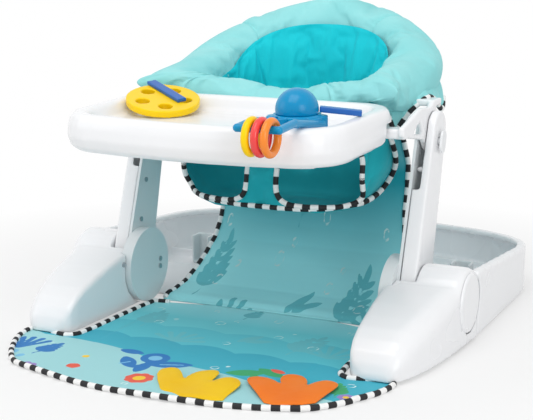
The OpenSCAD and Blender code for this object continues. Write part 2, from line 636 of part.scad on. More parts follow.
// ---- mat and leg panel ----
// Right half of the mat's outline: front edge, side and neck between the feet
notch_y = -foot_reach + 10;
function mat_front_y(x) = -mat_reach + 38 * pow(abs(x) / (mat_w / 2 - 70), 2);
mat_right = concat([for (x = [0:25:mat_w / 2 - 70]) [x, mat_front_y(x)]],
    [[mat_w / 2 - 45, -mat_reach + 68], [mat_w / 2 - 28, -mat_reach + 97],
    [mat_w / 2 - 14, -mat_reach + 130], [mat_w / 2 - 8, notch_y - 10], [mat_w / 2 - 14, notch_y],
    [mat_neck_w / 2 + 14, notch_y], [mat_neck_w / 2, notch_y + 12]]);
mat_end = 15.6;
module floor_mat() color([0.5, 0.82, 0.84]) at_hinge() linear_extrude(mat_t)
    polygon(concat(mat_right, [[mat_neck_w / 2, mat_end], [-mat_neck_w / 2, mat_end]],
        [for (k = [len(mat_right) - 1:-1:1]) [-mat_right[k][0], mat_right[k][1]]]));
// The panel rises from the mat, over the edge of the base, to the underside of the ring
panel_line = [[mat_end + 1.4, 0], [mat_end + 8, 2], [seam_y - 2, 7], [45, 7.6], [76, 14], [100, 28],
    [125, 47], [145, 70], [158, 98], [165, 132], [panel_reach, 168], [panel_reach + 3, 205],
    [panel_reach, 240], [panel_reach - 8, 272]];
panel_half = [174, 173, 172, 171, 169, 166, 163, 160, 158, 156, 155, 154, 152, 148];
module leg_panel() color([0.45, 0.76, 0.79]) at_hinge() {
    n = len(panel_line);
    k_w = panel_w / 312;
    pts = [for (i = [0:n - 1]) let (p = panel_line[i],
        d = unit(panel_line[min(n - 1, i + 1)] - panel_line[max(0, i - 1)]),
        q = p + mat_t * [-d[1], d[0]], w = panel_half[i] * k_w)
        each [[-w, p[0], p[1]], [w, p[0], p[1]], [w, q[0], q[1]], [-w, q[0], q[1]]]];
    faces = [for (i = [0:n - 2], j = [0:3], h = [0, 1]) let (j1 = (j + 1) % 4) h == 0
        ? [i * 4 + j, i * 4 + j1, (i + 1) * 4 + j1] : [i * 4 + j, (i + 1) * 4 + j1, (i + 1) * 4 + j]];
    polyhedron(points = pts, faces = concat([[3, 2, 1, 0]], faces,
        [[for (j = [0:3]) (n - 1) * 4 + j]]));
}
// Lobed flaps of cloth, sewn to the mat along its front edge. Each outline is measured from the
// middle of the mat's front edge.
yellow_line = [[30, 10], [-7, 61], [-13, 81], [-6, 91], [6, 92], [20, 78], [31, 62], [30, 76], [34, 94],
    [44, 105], [53, 106], [61, 98], [64, 84], [65, 64], [71, 80], [80, 89], [91, 89], [101, 76], [102, 58],
    [101, 40], [104, 17]];
orange_line = [[156, 28], [129, 56], [101, 88], [98, 100], [105, 107], [118, 106], [135, 99], [145, 92],
    [135, 110], [135, 124], [143, 132], [154, 133], [167, 120], [175, 98], [177, 110], [184, 122],
    [192, 128], [202, 126], [207, 120], [208, 106], [206, 81], [204, 48]];
module flap(outline) at_hinge() translate([0, -mat_reach, mat_t + gap])
    linear_extrude(2) polygon(outline);
module yellow_flap() color([0.98, 0.8, 0.1]) flap(yellow_line);
module orange_flap() color([0.98, 0.5, 0.12]) flap(orange_line);

// ---- toys ----
teether_at = [68 - tray_half, tray_depth - 66];
// The disc leans on the rim at the rear left corner, and its far edge is on the tray's floor
teether_lean = 131;
teether_tilt = 13.6;
module in_teether_frame() in_tray_frame() translate([teether_at[0], teether_at[1],
    -recess_h + disc_toy_r * sin(teether_tilt) + disc_toy_t / 2 * cos(teether_tilt) + 0.7])
    rotate(a = teether_tilt, v = [sin(teether_lean), -cos(teether_lean), 0]) children();
module disc_teether() color([0.99, 0.83, 0.1]) in_teether_frame() difference() {
    cylinder(r = disc_toy_r, h = disc_toy_t, center = true);
    for (k = [0:4]) rotate([0, 0, 72 * k + 18]) translate([disc_toy_r * 0.6, 0, -10])
        cylinder(r = disc_toy_r * 0.19, h = 20);
}
module teether_strap() color([0.1, 0.42, 0.75]) in_teether_frame() translate([-5, 18, 0])
    rotate([0, 0, -28]) translate([-39, -7, disc_toy_t / 2 + 0.02]) cube([78, 14, 5]);

rattle_at = [108, 104];
rattle_base = -recess_h + 0.05;
skirt_toy_r = 38;
skirt_toy_h = 24;
// A round bar from one point to another
module bar(a, b, r) let (d = b - a) translate(a)
    rotate([0, atan2(norm([d[0], d[1]]), d[2]), atan2(d[1], d[0])]) cylinder(r = r, h = norm(d));
module in_rattle_frame() in_tray_frame() translate([rattle_at[0], rattle_at[1], rattle_base]) children();
loop_r = 4.8;
loop_half = 26.5;
loop_shift = 11;
loop_root = [loop_half, -8, 14];
loop_crest = [loop_half, -rattle_at[1] + 12, recess_h + loop_r + 4];
loop_bar = [loop_half, -rattle_at[1] - 30, recess_h + loop_r + 2.5];
module rattle_skirt() color([0.08, 0.5, 0.78]) in_rattle_frame() difference() {
    union() {
        cylinder(r = skirt_toy_r - 8, h = skirt_toy_h);
        for (k = [0:7]) rotate([0, 0, 45 * k + 22.5]) translate([skirt_toy_r - 11, 0, 0])
            cylinder(r = 11, h = skirt_toy_h - 2);
    }
    translate([loop_shift, 0, 0]) for (m = [0, 1]) mirror([m, 0, 0])
        bar(loop_root, loop_crest, loop_r + fit);
}
module rattle_dome() color([0.05, 0.55, 0.85]) in_rattle_frame() translate([0, 0, skirt_toy_h + 0.02])
    rotate_extrude() intersection() {
        translate([0, 5]) circle(r = dome_r);
        square([dome_r, dome_r + 10]);
    }
// The loop handle: two sides pass over the rim, and a straight bar in front carries the rings
module loop_handle() color([0.08, 0.5, 0.78]) in_rattle_frame() translate([loop_shift, 0, 0]) {
    for (m = [0, 1]) mirror([m, 0, 0]) {
        bar(loop_root, loop_crest, loop_r);
        bar(loop_crest, loop_bar, loop_r);
        for (p = [loop_crest, loop_bar]) translate(p) sphere(r = loop_r + 0.2);
    }
    translate([-loop_half, loop_bar[1], loop_bar[2]]) rotate([0, 90, 0])
        cylinder(r = loop_r, h = 2 * loop_half);
}
ring_major = (toy_ring_d - toy_ring_t) / 2;
ring_drop = ring_major - toy_ring_t / 2 - loop_r - fit;
module toy_ring(k) in_rattle_frame()
    translate([loop_shift + 4 + (k - 1) * 12, loop_bar[1], loop_bar[2] - ring_drop])
    rotate([0, 90, 0]) rotate_extrude() translate([ring_major, 0]) circle(r = toy_ring_t / 2);
module yellow_ring() color([0.99, 0.8, 0.1]) toy_ring(0);
module red_ring() color([0.92, 0.2, 0.2]) toy_ring(1);
module orange_ring() color([0.98, 0.5, 0.1]) toy_ring(2);
link_low = 6.2;
module link_strap() color([0.1, 0.45, 0.8]) in_rattle_frame() rotate([0, 0, 22])
    translate([dome_r + 0.4, -6, recess_h + link_low]) rotate([0, link_low + 0.1, 0])
    cube([52, 13, 7]);

base_pan();
left_of() foot();  // left_foot
foot();  // right_foot
left_of() foot_cover();  // left_foot_cover
foot_cover();  // right_foot_cover
left_of() hinge_cap();  // left_hinge_cap
hinge_cap();  // right_hinge_cap
left_of() hinge_axle();  // left_hinge_axle
hinge_axle();  // right_hinge_axle
rubber_pads();
left_of() storage_clip();  // left_storage_clip
storage_clip();  // right_storage_clip
foot_screws();
cover_plate_screws();
left_of() post();  // left_post
post();  // right_post
left_of() post_cover();  // left_post_cover
post_cover();  // right_post_cover
left_of() hub_disc();  // left_hub_disc
hub_disc();  // right_hub_disc
post_screws();
hub_disc_screws();
left_of() pivot_pin();  // left_pivot_pin
pivot_pin();  // right_pivot_pin
left_of() release_button();  // left_release_button
release_button();  // right_release_button
left_of() bracket();  // left_bracket
bracket();  // right_bracket
seat_hoop();
ring_sleeve();
seat_liner();
seat_pouch();
floor_mat();
leg_panel();
yellow_flap();
orange_flap();
tray();
left_of() tray_rail();  // left_tray_rail
tray_rail();  // right_tray_rail
disc_teether();
teether_strap();
rattle_dome();
rattle_skirt();
loop_handle();
yellow_ring();
red_ring();
orange_ring();
link_strap();
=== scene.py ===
# %% [markdown]
# # A baby floor seat, dressed for its picture
# The plastic frame, the steel parts and the joints come from an exact model in CAD. This notebook
# loads that model, and gives each piece the finish or the softer shape that an exact solid can't
# have: stuffed cloth, gathers, striped piping, a printed mat and rounded plastic edges.
# Lengths are in metres. +Z is up, and the child looks along -Y, over the tray.

# %% Load the model
import json
from math import atan2, copysign, cos, degrees, exp, hypot, pi, radians, sin, sqrt, tau
import bpy
import numpy as np
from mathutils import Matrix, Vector

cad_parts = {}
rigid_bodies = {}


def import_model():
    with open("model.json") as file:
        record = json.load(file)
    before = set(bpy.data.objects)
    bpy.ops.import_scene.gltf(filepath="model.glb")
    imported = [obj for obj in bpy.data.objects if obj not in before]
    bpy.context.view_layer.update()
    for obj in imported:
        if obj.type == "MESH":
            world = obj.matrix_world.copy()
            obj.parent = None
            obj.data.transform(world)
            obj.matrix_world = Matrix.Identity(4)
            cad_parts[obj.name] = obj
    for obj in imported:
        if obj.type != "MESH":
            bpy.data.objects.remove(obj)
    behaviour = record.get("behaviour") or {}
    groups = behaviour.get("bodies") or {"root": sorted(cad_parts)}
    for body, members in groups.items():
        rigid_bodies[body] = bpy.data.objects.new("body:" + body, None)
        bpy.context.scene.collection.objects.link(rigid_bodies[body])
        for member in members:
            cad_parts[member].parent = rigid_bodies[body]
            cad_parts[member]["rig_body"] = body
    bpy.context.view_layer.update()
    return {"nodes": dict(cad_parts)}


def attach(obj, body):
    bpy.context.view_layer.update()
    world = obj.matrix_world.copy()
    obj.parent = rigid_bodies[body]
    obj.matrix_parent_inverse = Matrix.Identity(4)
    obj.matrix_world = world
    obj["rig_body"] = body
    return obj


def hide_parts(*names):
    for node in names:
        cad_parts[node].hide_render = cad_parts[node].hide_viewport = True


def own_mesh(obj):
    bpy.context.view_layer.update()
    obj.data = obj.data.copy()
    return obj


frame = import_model()
NODES = frame["nodes"]
scene = bpy.context.scene
MM = 0.001
HINGE_Y = -37 * MM  # the seat's own measures start at the hinge of its feet

# %% [markdown]
# Every finish starts from one Principled shader. A helper makes it, sets the plain values on its
# sockets and gives back the node tree, so that each material adds only what makes it special.

# %% A material with one Principled shader, and a new object
def added(name, data):
    made = bpy.data.objects.new(name, data)
    scene.collection.objects.link(made)
    return made

def new_material(name, colour, rough, **values):
    mat = bpy.data.materials.new(name)
    mat.use_nodes = True
    tree = mat.node_tree
    shader = tree.nodes["Principled BSDF"]
    shader.inputs["Base Color"].default_value = (*colour, 1)
    shader.inputs["Roughness"].default_value = rough
    for key, value in values.items():
        shader.inputs[key.replace("_", " ")].default_value = value
    mat.diffuse_color = (*colour, 1)
    return mat, tree, shader

def node(tree, kind, family="ShaderNode", **values):
    made = tree.nodes.new(family + kind)
    for key, value in values.items():
        setattr(made, key, value)
    return made

def noise(tree, scale, detail=2.0, stretch=(1, 1, 1)):
    """Noise that stays fixed to the object, and can be stretched along an axis."""
    place = node(tree, "TexCoord")
    turn = node(tree, "Mapping")
    turn.inputs["Scale"].default_value = stretch
    grain = node(tree, "TexNoise")
    grain.inputs["Scale"].default_value = scale
    grain.inputs["Detail"].default_value = detail
    tree.links.new(place.outputs["Object"], turn.inputs["Vector"])
    tree.links.new(turn.outputs["Vector"], grain.inputs["Vector"])
    return grain.outputs["Fac"]

def bump(tree, shader, height, strength, distance, before=None):
    made = node(tree, "Bump")
    made.inputs["Strength"].default_value = strength
    made.inputs["Distance"].default_value = distance
    tree.links.new(height, made.inputs["Height"])
    if before:
        tree.links.new(before, made.inputs["Normal"])
    tree.links.new(made.outputs["Normal"], shader.inputs["Normal"])
    return made.outputs["Normal"]

def spread(tree, value, low, high, start=0.3, end=0.7):
    made = node(tree, "MapRange")
    for key, number in (("From Min", start), ("From Max", end), ("To Min", low), ("To Max", high)):
        made.inputs[key].default_value = number
    tree.links.new(value, made.inputs["Value"])
    return made.outputs["Result"]

def tones(tree, value, dark, light):
    """A colour between two tones, by a value from 0 to 1."""
    made = node(tree, "Mix", data_type="RGBA")
    made.inputs["A"].default_value = (*dark, 1)
    made.inputs["B"].default_value = (*light, 1)
    tree.links.new(value, made.inputs["Factor"])
    return made.outputs["Result"]

def layer(tree, below, colour, share):
    """A plain colour laid over what is below it, by a share from 0 to 1."""
    made = node(tree, "Mix", data_type="RGBA")
    made.inputs["B"].default_value = (*colour, 1)
    tree.links.new(share, made.inputs["Factor"])
    tree.links.new(below, made.inputs["A"])
    return made.outputs["Result"]

def srgb(text):
    """A colour as a printer would write it, turned into the linear values that Blender wants."""
    parts = [int(text[i:i + 2], 16) / 255 for i in (0, 2, 4)]
    return tuple(p / 12.92 if p <= 0.04045 else ((p + 0.055) / 1.055) ** 2.4 for p in parts)

# %% [markdown]
# Moulded plastic isn't a perfect mirror: the mould's polish wavers a little. A wide noise moves
# the roughness, and a very small bump breaks up the reflections on the big white shells.

# %% Plastics
def plastic(name, text, rough=0.26, waver=0.05, **values):
    colour = srgb(text)
    mat, tree, shader = new_material(name, colour, rough, **values)
    wide = noise(tree, 9)
    tree.links.new(spread(tree, wide, rough - waver, rough + waver), shader.inputs["Roughness"])
    fine = noise(tree, 420, 1)
    bump(tree, shader, fine, 0.04, 0.0004)
    return mat

WHITE = plastic("Glossy white plastic", "F1F2F4", 0.24)
INNER = plastic("Satin white plastic", "E2E8EA", 0.36)
GREY = plastic("Grey button plastic", "ECEEF0", 0.34)
YELLOW = plastic("Yellow toy plastic", "FFD408", 0.3, Specular_IOR_Level=0.25)
BLUE = plastic("Blue toy plastic", "0090C4", 0.22, Specular_IOR_Level=0.3)
RED = plastic("Red toy plastic", "EE4545", 0.25)
ORANGE = plastic("Orange toy plastic", "F88A22", 0.25)
STRAP_BLUE = plastic("Deep blue toy plastic", "0B60B4", 0.3)
print("plastics:", len(bpy.data.materials))

# %% [markdown]
# Steel and rubber are small here. The steel gets fine scratches along X, where it was turned,
# and the rubber is dark, dull and a little dusty.

# %% Steel and rubber
STEEL, tree, shader = new_material("Turned steel", srgb("B9BCC0"), 0.3, Metallic=1.0)
marks = noise(tree, 300, 2, (8, 1, 1))
tree.links.new(spread(tree, marks, 0.22, 0.4), shader.inputs["Roughness"])
RUBBER, tree, shader = new_material("Black rubber", srgb("2B2B2E"), 0.8)
dust = noise(tree, 120, 3)
tree.links.new(tones(tree, spread(tree, dust, 0, 1), srgb("232326"), srgb("3A3A3D")),
               shader.inputs["Base Color"])

# %% [markdown]
# Cloth needs three scales: slow changes of tone where it has been handled, soft creases, and the
# weave. Sheen adds the pale edge that woven threads show against the light.

# %% Cloth
def cloth(name, dark, light, rough=0.75, creases=0.25, stretch=(1, 1, 1)):
    mat, tree, shader = new_material(name, srgb(light), rough, Sheen_Weight=0.06,
                                     Specular_IOR_Level=0.25)
    slow = noise(tree, 14, 3)
    colour = tones(tree, spread(tree, slow, 0, 1), srgb(dark), srgb(light))
    tree.links.new(colour, shader.inputs["Base Color"])
    soft = bump(tree, shader, noise(tree, 38, 2, stretch), creases, 0.004)
    bump(tree, shader, noise(tree, 1600, 1), 0.12, 0.0003, soft)
    return mat

AQUA = cloth("Light aqua padded cloth", "8CD8DA", "9FE4E5")
TURQUOISE = cloth("Bright turquoise cloth", "00C2D0", "0AD0DC", 0.7, 0.3, (1, 1, 0.25))
POUCH = cloth("Turquoise pouch cloth", "10A4B0", "28B6C0", 0.7, 0.3)
YELLOW_CLOTH = cloth("Yellow cloth", "F0BE04", "F6CA12", 0.7)
ORANGE_CLOTH = cloth("Orange cloth", "F07618", "F58426", 0.7)
print("cloths, plastics and metals:", len(bpy.data.materials))

# %% [markdown]
# The big white shells are moulded with soft edges, which the exact solids leave sharp. A copy of
# each solid is merged, since its mesh is loose triangles, and remeshed in small cells; smoothing
# then rounds every edge by about the size of a cell, and a decimation keeps the mesh light.

def paint(obj, material):
    obj.data.materials.clear()
    obj.data.materials.append(material)

def bake(obj):
    """Turn the object's modifiers into a plain mesh."""
    shown = obj.evaluated_get(bpy.context.evaluated_depsgraph_get())
    mesh = bpy.data.meshes.new_from_object(shown)
    obj.modifiers.clear()
    obj.data = mesh
    return obj

def moulded(name, material, cell, passes=6, keep=0.3):
    """cell is the size of the remeshed cells in metres, and keep the share of faces that stays."""
    made = added("moulded_" + name, NODES[name].data.copy())
    made.modifiers.new("Weld", "WELD").merge_threshold = 0.00002
    cells = made.modifiers.new("Cells", "REMESH")
    cells.mode, cells.voxel_size = "VOXEL", cell
    soft = made.modifiers.new("Soft", "SMOOTH")
    soft.factor, soft.iterations = 0.5, passes
    made.modifiers.new("Light", "DECIMATE").ratio = keep
    paint(bake(made), material)
    made.data.shade_smooth()
    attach(made, NODES[name]["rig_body"])
    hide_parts(name)

# %% The moulded pieces
for side in ("left_", "right_"):
    moulded(side + "foot", WHITE, 0.002, 8, 0.25)
    moulded(side + "post", WHITE, 0.002, 8, 0.3)
    moulded(side + "bracket", WHITE, 0.0018, 6, 0.4)
    moulded(side + "storage_clip", INNER, 0.0015, 3, 0.5)
    moulded(side + "hinge_cap", WHITE, 0.0012, 4, 0.5)
moulded("base_pan", WHITE, 0.0025, 6, 0.3)
moulded("tray", WHITE, 0.002, 8, 0.3)
moulded("rattle_dome", BLUE, 0.0009, 3, 0.5)
moulded("rattle_skirt", BLUE, 0.001, 6, 0.5)
moulded("loop_handle", BLUE, 0.0009, 3, 0.5)
moulded("link_strap", STRAP_BLUE, 0.0009, 5, 0.5)
moulded("teether_strap", STRAP_BLUE, 0.0009, 5, 0.5)
moulded("disc_teether", YELLOW, 0.0011, 5, 0.5)

# %% [markdown]
# The small parts keep their exact shape, so they only get a finish.

# %% Finish the exact pieces
plain = {"rubber_pads": RUBBER, "yellow_ring": YELLOW, "red_ring": RED, "orange_ring": ORANGE}
for side in ("left_", "right_"):
    plain.update({side + "foot_cover": INNER, side + "post_cover": INNER, side + "hub_disc": INNER,
                  side + "tray_rail": INNER, side + "release_button": GREY,
                  side + "hinge_axle": STEEL, side + "pivot_pin": STEEL})
for name in ("foot_screws", "cover_plate_screws", "post_screws", "hub_disc_screws", "seat_hoop"):
    plain[name] = STEEL
for name, material in plain.items():
    paint(NODES[name], material)
print("exact pieces with a finish:", len(plain))

# %% [markdown]
# The seat hangs from a steel hoop. Its middle line is a rounded square at the front and a rounder
# arch behind, and it climbs from the front bar to the crown. The same rule as in the exact model
# gives points on it, so the padding, the lining and the piping all follow one line.

# %% The line of the seat ring
HALF_W, MIDDLE, FRONT, REAR, HOLLOW = 155, 140, 43, 262, 64
FRONT_TOP, CROWN, PAD_R = 320, 430, 38

def away(v):
    """The distance from 0, with a soft start."""
    return sqrt(v * v + 400) - 20

def rounded_square(angle, power):
    c, s = cos(angle), sin(angle)
    r = (abs(c) ** power + abs(s) ** power) ** (-1 / power)
    return r * c, r * s

def ring(angle):
    """Share (u, v), centre and the two radii of the padding, in millimetres, at an angle."""
    u, v = rounded_square(angle, 6 if sin(angle) < 0 else 2.2)
    front = max(0, -v)
    corner = min(1, 1.5 * front ** 2 * u * u)
    turn = 180 - degrees(atan2(abs(u), -v))
    rise = max(0, 1 - away(turn) / away(180)) ** 1.35
    across, tall = (PAD_R - 8 * front - k * corner * (PAD_R - 8) / 30 for k in (8, 16.5))
    y = MIDDLE + (MIDDLE - FRONT + HOLLOW if v < 0 else REAR - MIDDLE) * v
    y += HOLLOW * (1 - abs(u) ** 5) * front ** 3
    z = FRONT_TOP + (CROWN - FRONT_TOP) * rise + 5 * corner - tall
    return (u, v), np.array((HALF_W * u, y, z)), across, tall

def outward(centre):
    """The level direction from the ring's middle to a point of its line."""
    return np.array((centre[0], centre[1] - MIDDLE, 0)) / hypot(centre[0], centre[1] - MIDDLE)

def length_along(points):
    """The length of a line up to each of its points."""
    return np.r_[0, np.cumsum(np.linalg.norm(np.diff(points, axis=0), axis=1))]

def even_angles(count):
    """Angles that divide the ring's line into equal lengths, counted from its right side."""
    fine = np.linspace(0, 2 * pi, 2881)
    run = length_along(np.array([ring(a)[1] for a in fine]))
    return np.interp(np.linspace(0, run[-1], count, endpoint=False), run, fine), run[-1]

def row_frame(points):
    """From the seat's own millimetres to the shared frame, in metres."""
    return np.asarray(points, float) * MM + (0, HINGE_Y, 0)

print("the padding's line is", round(even_angles(10)[1]), "mm long")

# %% [markdown]
# The cloth pieces are grids of points, row by row along a line. A sculpted mesh would do too, but
# a grid keeps even, square cells, which is what a cloth simulation needs to fold well.

# %% A mesh from a grid of points
def grid_mesh(name, points, material, wrap_u=True, wrap_v=False):
    """points[i][j] becomes a mesh of quads, closed round i or j where asked."""
    points = np.asarray(points, float)
    n, m = points.shape[:2]
    faces = []
    for i in range(n if wrap_u else n - 1):
        for j in range(m if wrap_v else m - 1):
            i1, j1 = (i + 1) % n, (j + 1) % m
            faces.append((i * m + j, i1 * m + j, i1 * m + j1, i * m + j1))
    return plain_mesh(name, row_frame(points.reshape(-1, 3)), faces, material)

def plain_mesh(name, points, faces, material):
    mesh = bpy.data.meshes.new(name)
    mesh.from_pydata([tuple(p) for p in points], [], faces)
    mesh.materials.append(material)
    mesh.shade_smooth()
    return added(name, mesh)

def positions(obj):
    co = np.empty(len(obj.data.vertices) * 3)
    obj.data.vertices.foreach_get("co", co)
    return co.reshape(-1, 3)

def move_to(obj, co):
    obj.data.vertices.foreach_set("co", np.asarray(co, float).ravel())
    obj.data.update()

# %% [markdown]
# Real padding is a bag of cloth, larger than the space it fills and held back by its seams, and
# that is what puckers it. The cloth simulation does just this: the seams are pinned, the cloth is
# given a little more length than it needs, and a light pressure fills it. Gravity stays out of it.

# %% Fill a bag of cloth
def fill_cloth(obj, seams, pressure, spare, limit, bending=0.4, frames=20):
    """Inflate obj between the pinned vertices, and cap how far any point may move, in metres."""
    before = positions(obj)
    obj.vertex_groups.new(name="seams").add([int(i) for i in seams], 1.0, "REPLACE")
    cloth = obj.modifiers.new("Cloth", "CLOTH")
    rules = cloth.settings
    rules.quality, rules.mass, rules.air_damping = 5, 0.15, 1.0
    rules.tension_stiffness = rules.compression_stiffness = 15
    rules.shear_stiffness, rules.bending_stiffness = 5, bending
    rules.vertex_group_mass = "seams"
    rules.shrink_min = -spare
    rules.use_pressure, rules.uniform_pressure_force = pressure > 0, pressure
    rules.effector_weights.gravity = 0
    cloth.point_cache.frame_start, cloth.point_cache.frame_end = 1, frames
    for frame_number in range(1, frames + 1):
        scene.frame_set(frame_number)
    bake(obj)
    obj.vertex_groups.clear()
    scene.frame_set(1)
    move = positions(obj) - before
    length = np.linalg.norm(move, axis=1, keepdims=True)
    move *= np.minimum(1, limit / np.maximum(length, 1e-9))
    move_to(obj, before + move)
    print(obj.name, "moved by up to", round(float(length.max()) * 1000, 1), "mm")
    return obj

def subdivided(obj):
    obj.modifiers.new("Finer", "SUBSURF").levels = 1
    return bake(obj)

def thicken(obj, thickness, offset=-1.0):
    made = obj.modifiers.new("Thickness", "SOLIDIFY")
    made.thickness, made.offset, made.use_even_offset = thickness, offset, False
    return bake(obj)

# %% [markdown]
# The padding is a stuffed tube round the hoop. Its cover is tacked down across at six places, which
# makes the shallow waists between its swellings, and it is sewn to the lining and the pouch along
# two lines below. Those stitches are the pinned points; everything between them is free to puff up.

# %% The padding of the ring
ROUND, SIDES = 300, 52
TUCKS = [int(ROUND * share) for share in (0.13, 0.37, 0.62, 0.70, 0.80, 0.88)]
SEWN_BELOW = (29, 42)  # points of each cross-section
rows, seams = [], []
for i, a in enumerate(even_angles(ROUND)[0]):
    (u, v), centre, across, tall = ring(a)
    tangent = ring(a + 0.03)[1] - ring(a - 0.03)[1]
    side = np.array((tangent[1], -tangent[0], 0)) / hypot(tangent[0], tangent[1])
    out = outward(centre)
    wide = min(1.6, 1 / abs(float(out @ side)))
    flap = 1.3 * max(0, -v) ** 4 * abs(u) ** 6
    slim = max(0, -v) * abs(u)
    tuck = min(abs(i - s) for s in TUCKS)
    share = 0.95 - (0.09 if tuck == 0 else 0.04 if tuck == 1 else 0)
    # a little fuller over the lugs of the bracket
    from_side = degrees(atan2(sin(a), abs(cos(a))))
    share += 0.06 * exp(-((abs(from_side + 19) / 16) ** 2))
    stretch = (1 + 0.7 * slim ** 3, 1, 1)
    row = []
    for j in range(SIDES):
        b = 2 * pi * j / SIDES
        reach = 1 + flap if cos(b) > 0 else 1 - 0.32 * slim
        rise = 1 - 0.2 * slim if sin(b) > 0 else 1 + 0.25 * slim
        row.append(centre + share * (across * wide * reach * cos(b) * out * stretch
                                     + np.array((0, 0, tall * rise * sin(b)))))
        if tuck == 0 or j in SEWN_BELOW:
            seams.append(i * SIDES + j)
    rows.append(row)
sleeve = grid_mesh("padded_ring", rows, AQUA, True, True)
fill_cloth(sleeve, seams, 4, 0.07, 0.006)
subdivided(sleeve)
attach(sleeve, "seat")
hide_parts("ring_sleeve")
print("padding:", len(sleeve.data.polygons), "faces")

# %% [markdown]
# At each front corner the cover of the ring hangs down as a short skirt, cut out in an arch over the
# bracket. It is a strip of cloth: its foot follows the arch, its top is tucked into the padding.

# %% The skirts at the front corners
SKIRT = np.array([(146, 52, 300), (158, 53, 292), (164, 54, 272), (168, 55, 268), (173, 57, 276),
                  (178, 59, 285), (183, 62, 293), (188, 65, 299), (195, 74, 307), (198, 85, 311),
                  (200, 100, 312), (201, 116, 307), (201, 129, 301), (201, 141, 293),
                  (201, 150, 288), (200, 159, 291), (197, 170, 304)], float)

def along_line(points, count, rounds=4):
    """Even points along a line, with its corners rounded off."""
    points = np.asarray(points, float)
    for _ in range(rounds):
        at = length_along(points)
        even = np.linspace(0, at[-1], count)
        points = np.stack([np.interp(even, at, points[:, k]) for k in range(3)], axis=1)
        points[1:-1] = (points[:-2] + 2 * points[1:-1] + points[2:]) / 4
    return points

foot = along_line(SKIRT, 90)
skirts, skirt_lines = [], []
for side in (-1, 1):
    rows = []
    for k, (x, y, z) in enumerate(foot):
        turn = min(1, max(0, (y - 56) / 30))
        top = np.array((x - 13 * turn, y + 6 * (1 - turn), max(z + 12, 312 + 0.22 * max(0, y - 60))))
        lean = top - (x, y, z)
        fold = 1.2 * sin(k * 0.55) + 0.7 * sin(k * 0.21 + 1)
        row = []
        for h in (j / 23 for j in range(24)):
            p = np.array((x, y, z)) + lean * h
            puff = (2.5 * sin(pi * h) + fold * (1 - h)) * np.array((turn, turn - 1, 0))
            row.append((p + puff) * (side, 1, 1))
        rows.append(row)
    skirt = grid_mesh(f"ring_skirt_{side}", rows, AQUA, False)
    thicken(skirt, 0.002, 0)
    subdivided(skirt)
    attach(skirt, "seat")
    skirts.append(skirt)
    skirt_lines.append(foot * (side, 1, 1))
print("skirts:", sum(len(s.data.polygons) for s in skirts), "faces")

# %% [markdown]
# The ring's lining is a band of thin cloth, gathered a little where it is sewn under the padding.
# It is simulated as one layer, pinned along its two hems, and gets its thickness afterwards. A few
# folds are drawn in before the simulation, where the photograph shows them, so that it buckles there.

# %% The lining inside the ring
def squircle(angle, half, front, rear, power):
    u, v = rounded_square(angle, power)
    return half * u, (front + rear) / 2 + (rear - front) / 2 * v, v

def pad_inside(angle):
    """Where the lining's top hem meets the inner side of the padding."""
    (u, v), centre, across, tall = ring(angle)
    return (centre - outward(centre) * across * 0.9 * (1 - 0.3 * max(0, -v) * abs(u))
            - (0, 0, 0.1 * tall))

BAND, TALL, LINING_FOOT = 260, 22, 276.4
# each fold's place and width in degrees round the band, and its depth in millimetres
FOLDS = ((62, 3.0, 4), (74, 2.4, -3), (86, 3.4, 5), (103, 2.6, -3), (116, 3.2, 4),
         (134, 3.0, 4), (40, 4, 3), (150, 4, 3))
rows = []
for i in range(BAND):
    a = 2 * pi * i / BAND
    row = []
    for j in range(TALL):
        share = j / (TALL - 1)
        x, y, v = squircle(a, 115, 75, 222 - 34 * (1 - share), 2.4)
        top = 307 + 89 * ((v + 1) / 2) ** 1.3
        z = LINING_FOOT + share * (top - LINING_FOOT)
        front = min(1, max(0, (-v - 0.05) / 0.55)) * share
        x, y, z = (np.array((x, y, z)) * (1 - front)
                   + front * (pad_inside(a) - (0, 0, (1 - share) * 40)))
        fold = sum(exp(-((degrees(a) - f) / w) ** 2) * d for f, w, d in FOLDS)
        pull = fold * sin(pi * min(1, 0.15 + share * 0.85)) ** 0.6 if 0 < j else 0
        inward = np.array((-cos(a), -sin(a), 0))
        row.append(np.array((x, y, z)) + pull * inward)
    rows.append(row)
liner = grid_mesh("ring_lining", rows, TURQUOISE)
hems = [i * TALL + j for i in range(BAND) for j in (0, TALL - 1)]
fill_cloth(liner, hems, 0, 0.05, 0.007, 0.2)
thicken(liner, 0.0016, 0)
subdivided(liner)
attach(liner, "seat")
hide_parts("seat_liner")
print("lining:", len(liner.data.polygons), "faces")

# %% [markdown]
# The pouch that holds the child is a bag under the ring with two leg openings. It is built level
# by level, a little fuller than the exact solid. The openings could be cut with a boolean, but that
# leaves thin faces that fold badly. So the faces inside them are left out, and the points next to
# them move on to the opening's edge, so that its line is smooth.

# %% The shape of the pouch
LEVELS = np.array([(152, 100, -4, 110), (162, 126, -14, 128), (205, 156, -12, 140),
                   (245, 161, 2, 142), (276, 154, 12, 140)], float)
LEG_X, LEG_Z, LEG_W, LEG_H = 79, 208, 114, 84
POUCH_POWER, LEG_POWER = 2.6, 4  # 2 would be an oval, and more is squarer

def smooth_level(t):
    """A level of the pouch between the measured ones, on a smooth curve through them."""
    k = min(int(t), 3)
    f = t - k
    p = [LEVELS[min(max(k + d, 0), 4)] for d in (-1, 0, 1, 2)]
    return p[1] + 0.5 * f * (p[2] - p[0] + f * (2 * p[0] - 5 * p[1] + 4 * p[2] - p[3]
                                                + f * (3 * (p[1] - p[2]) + p[3] - p[0])))

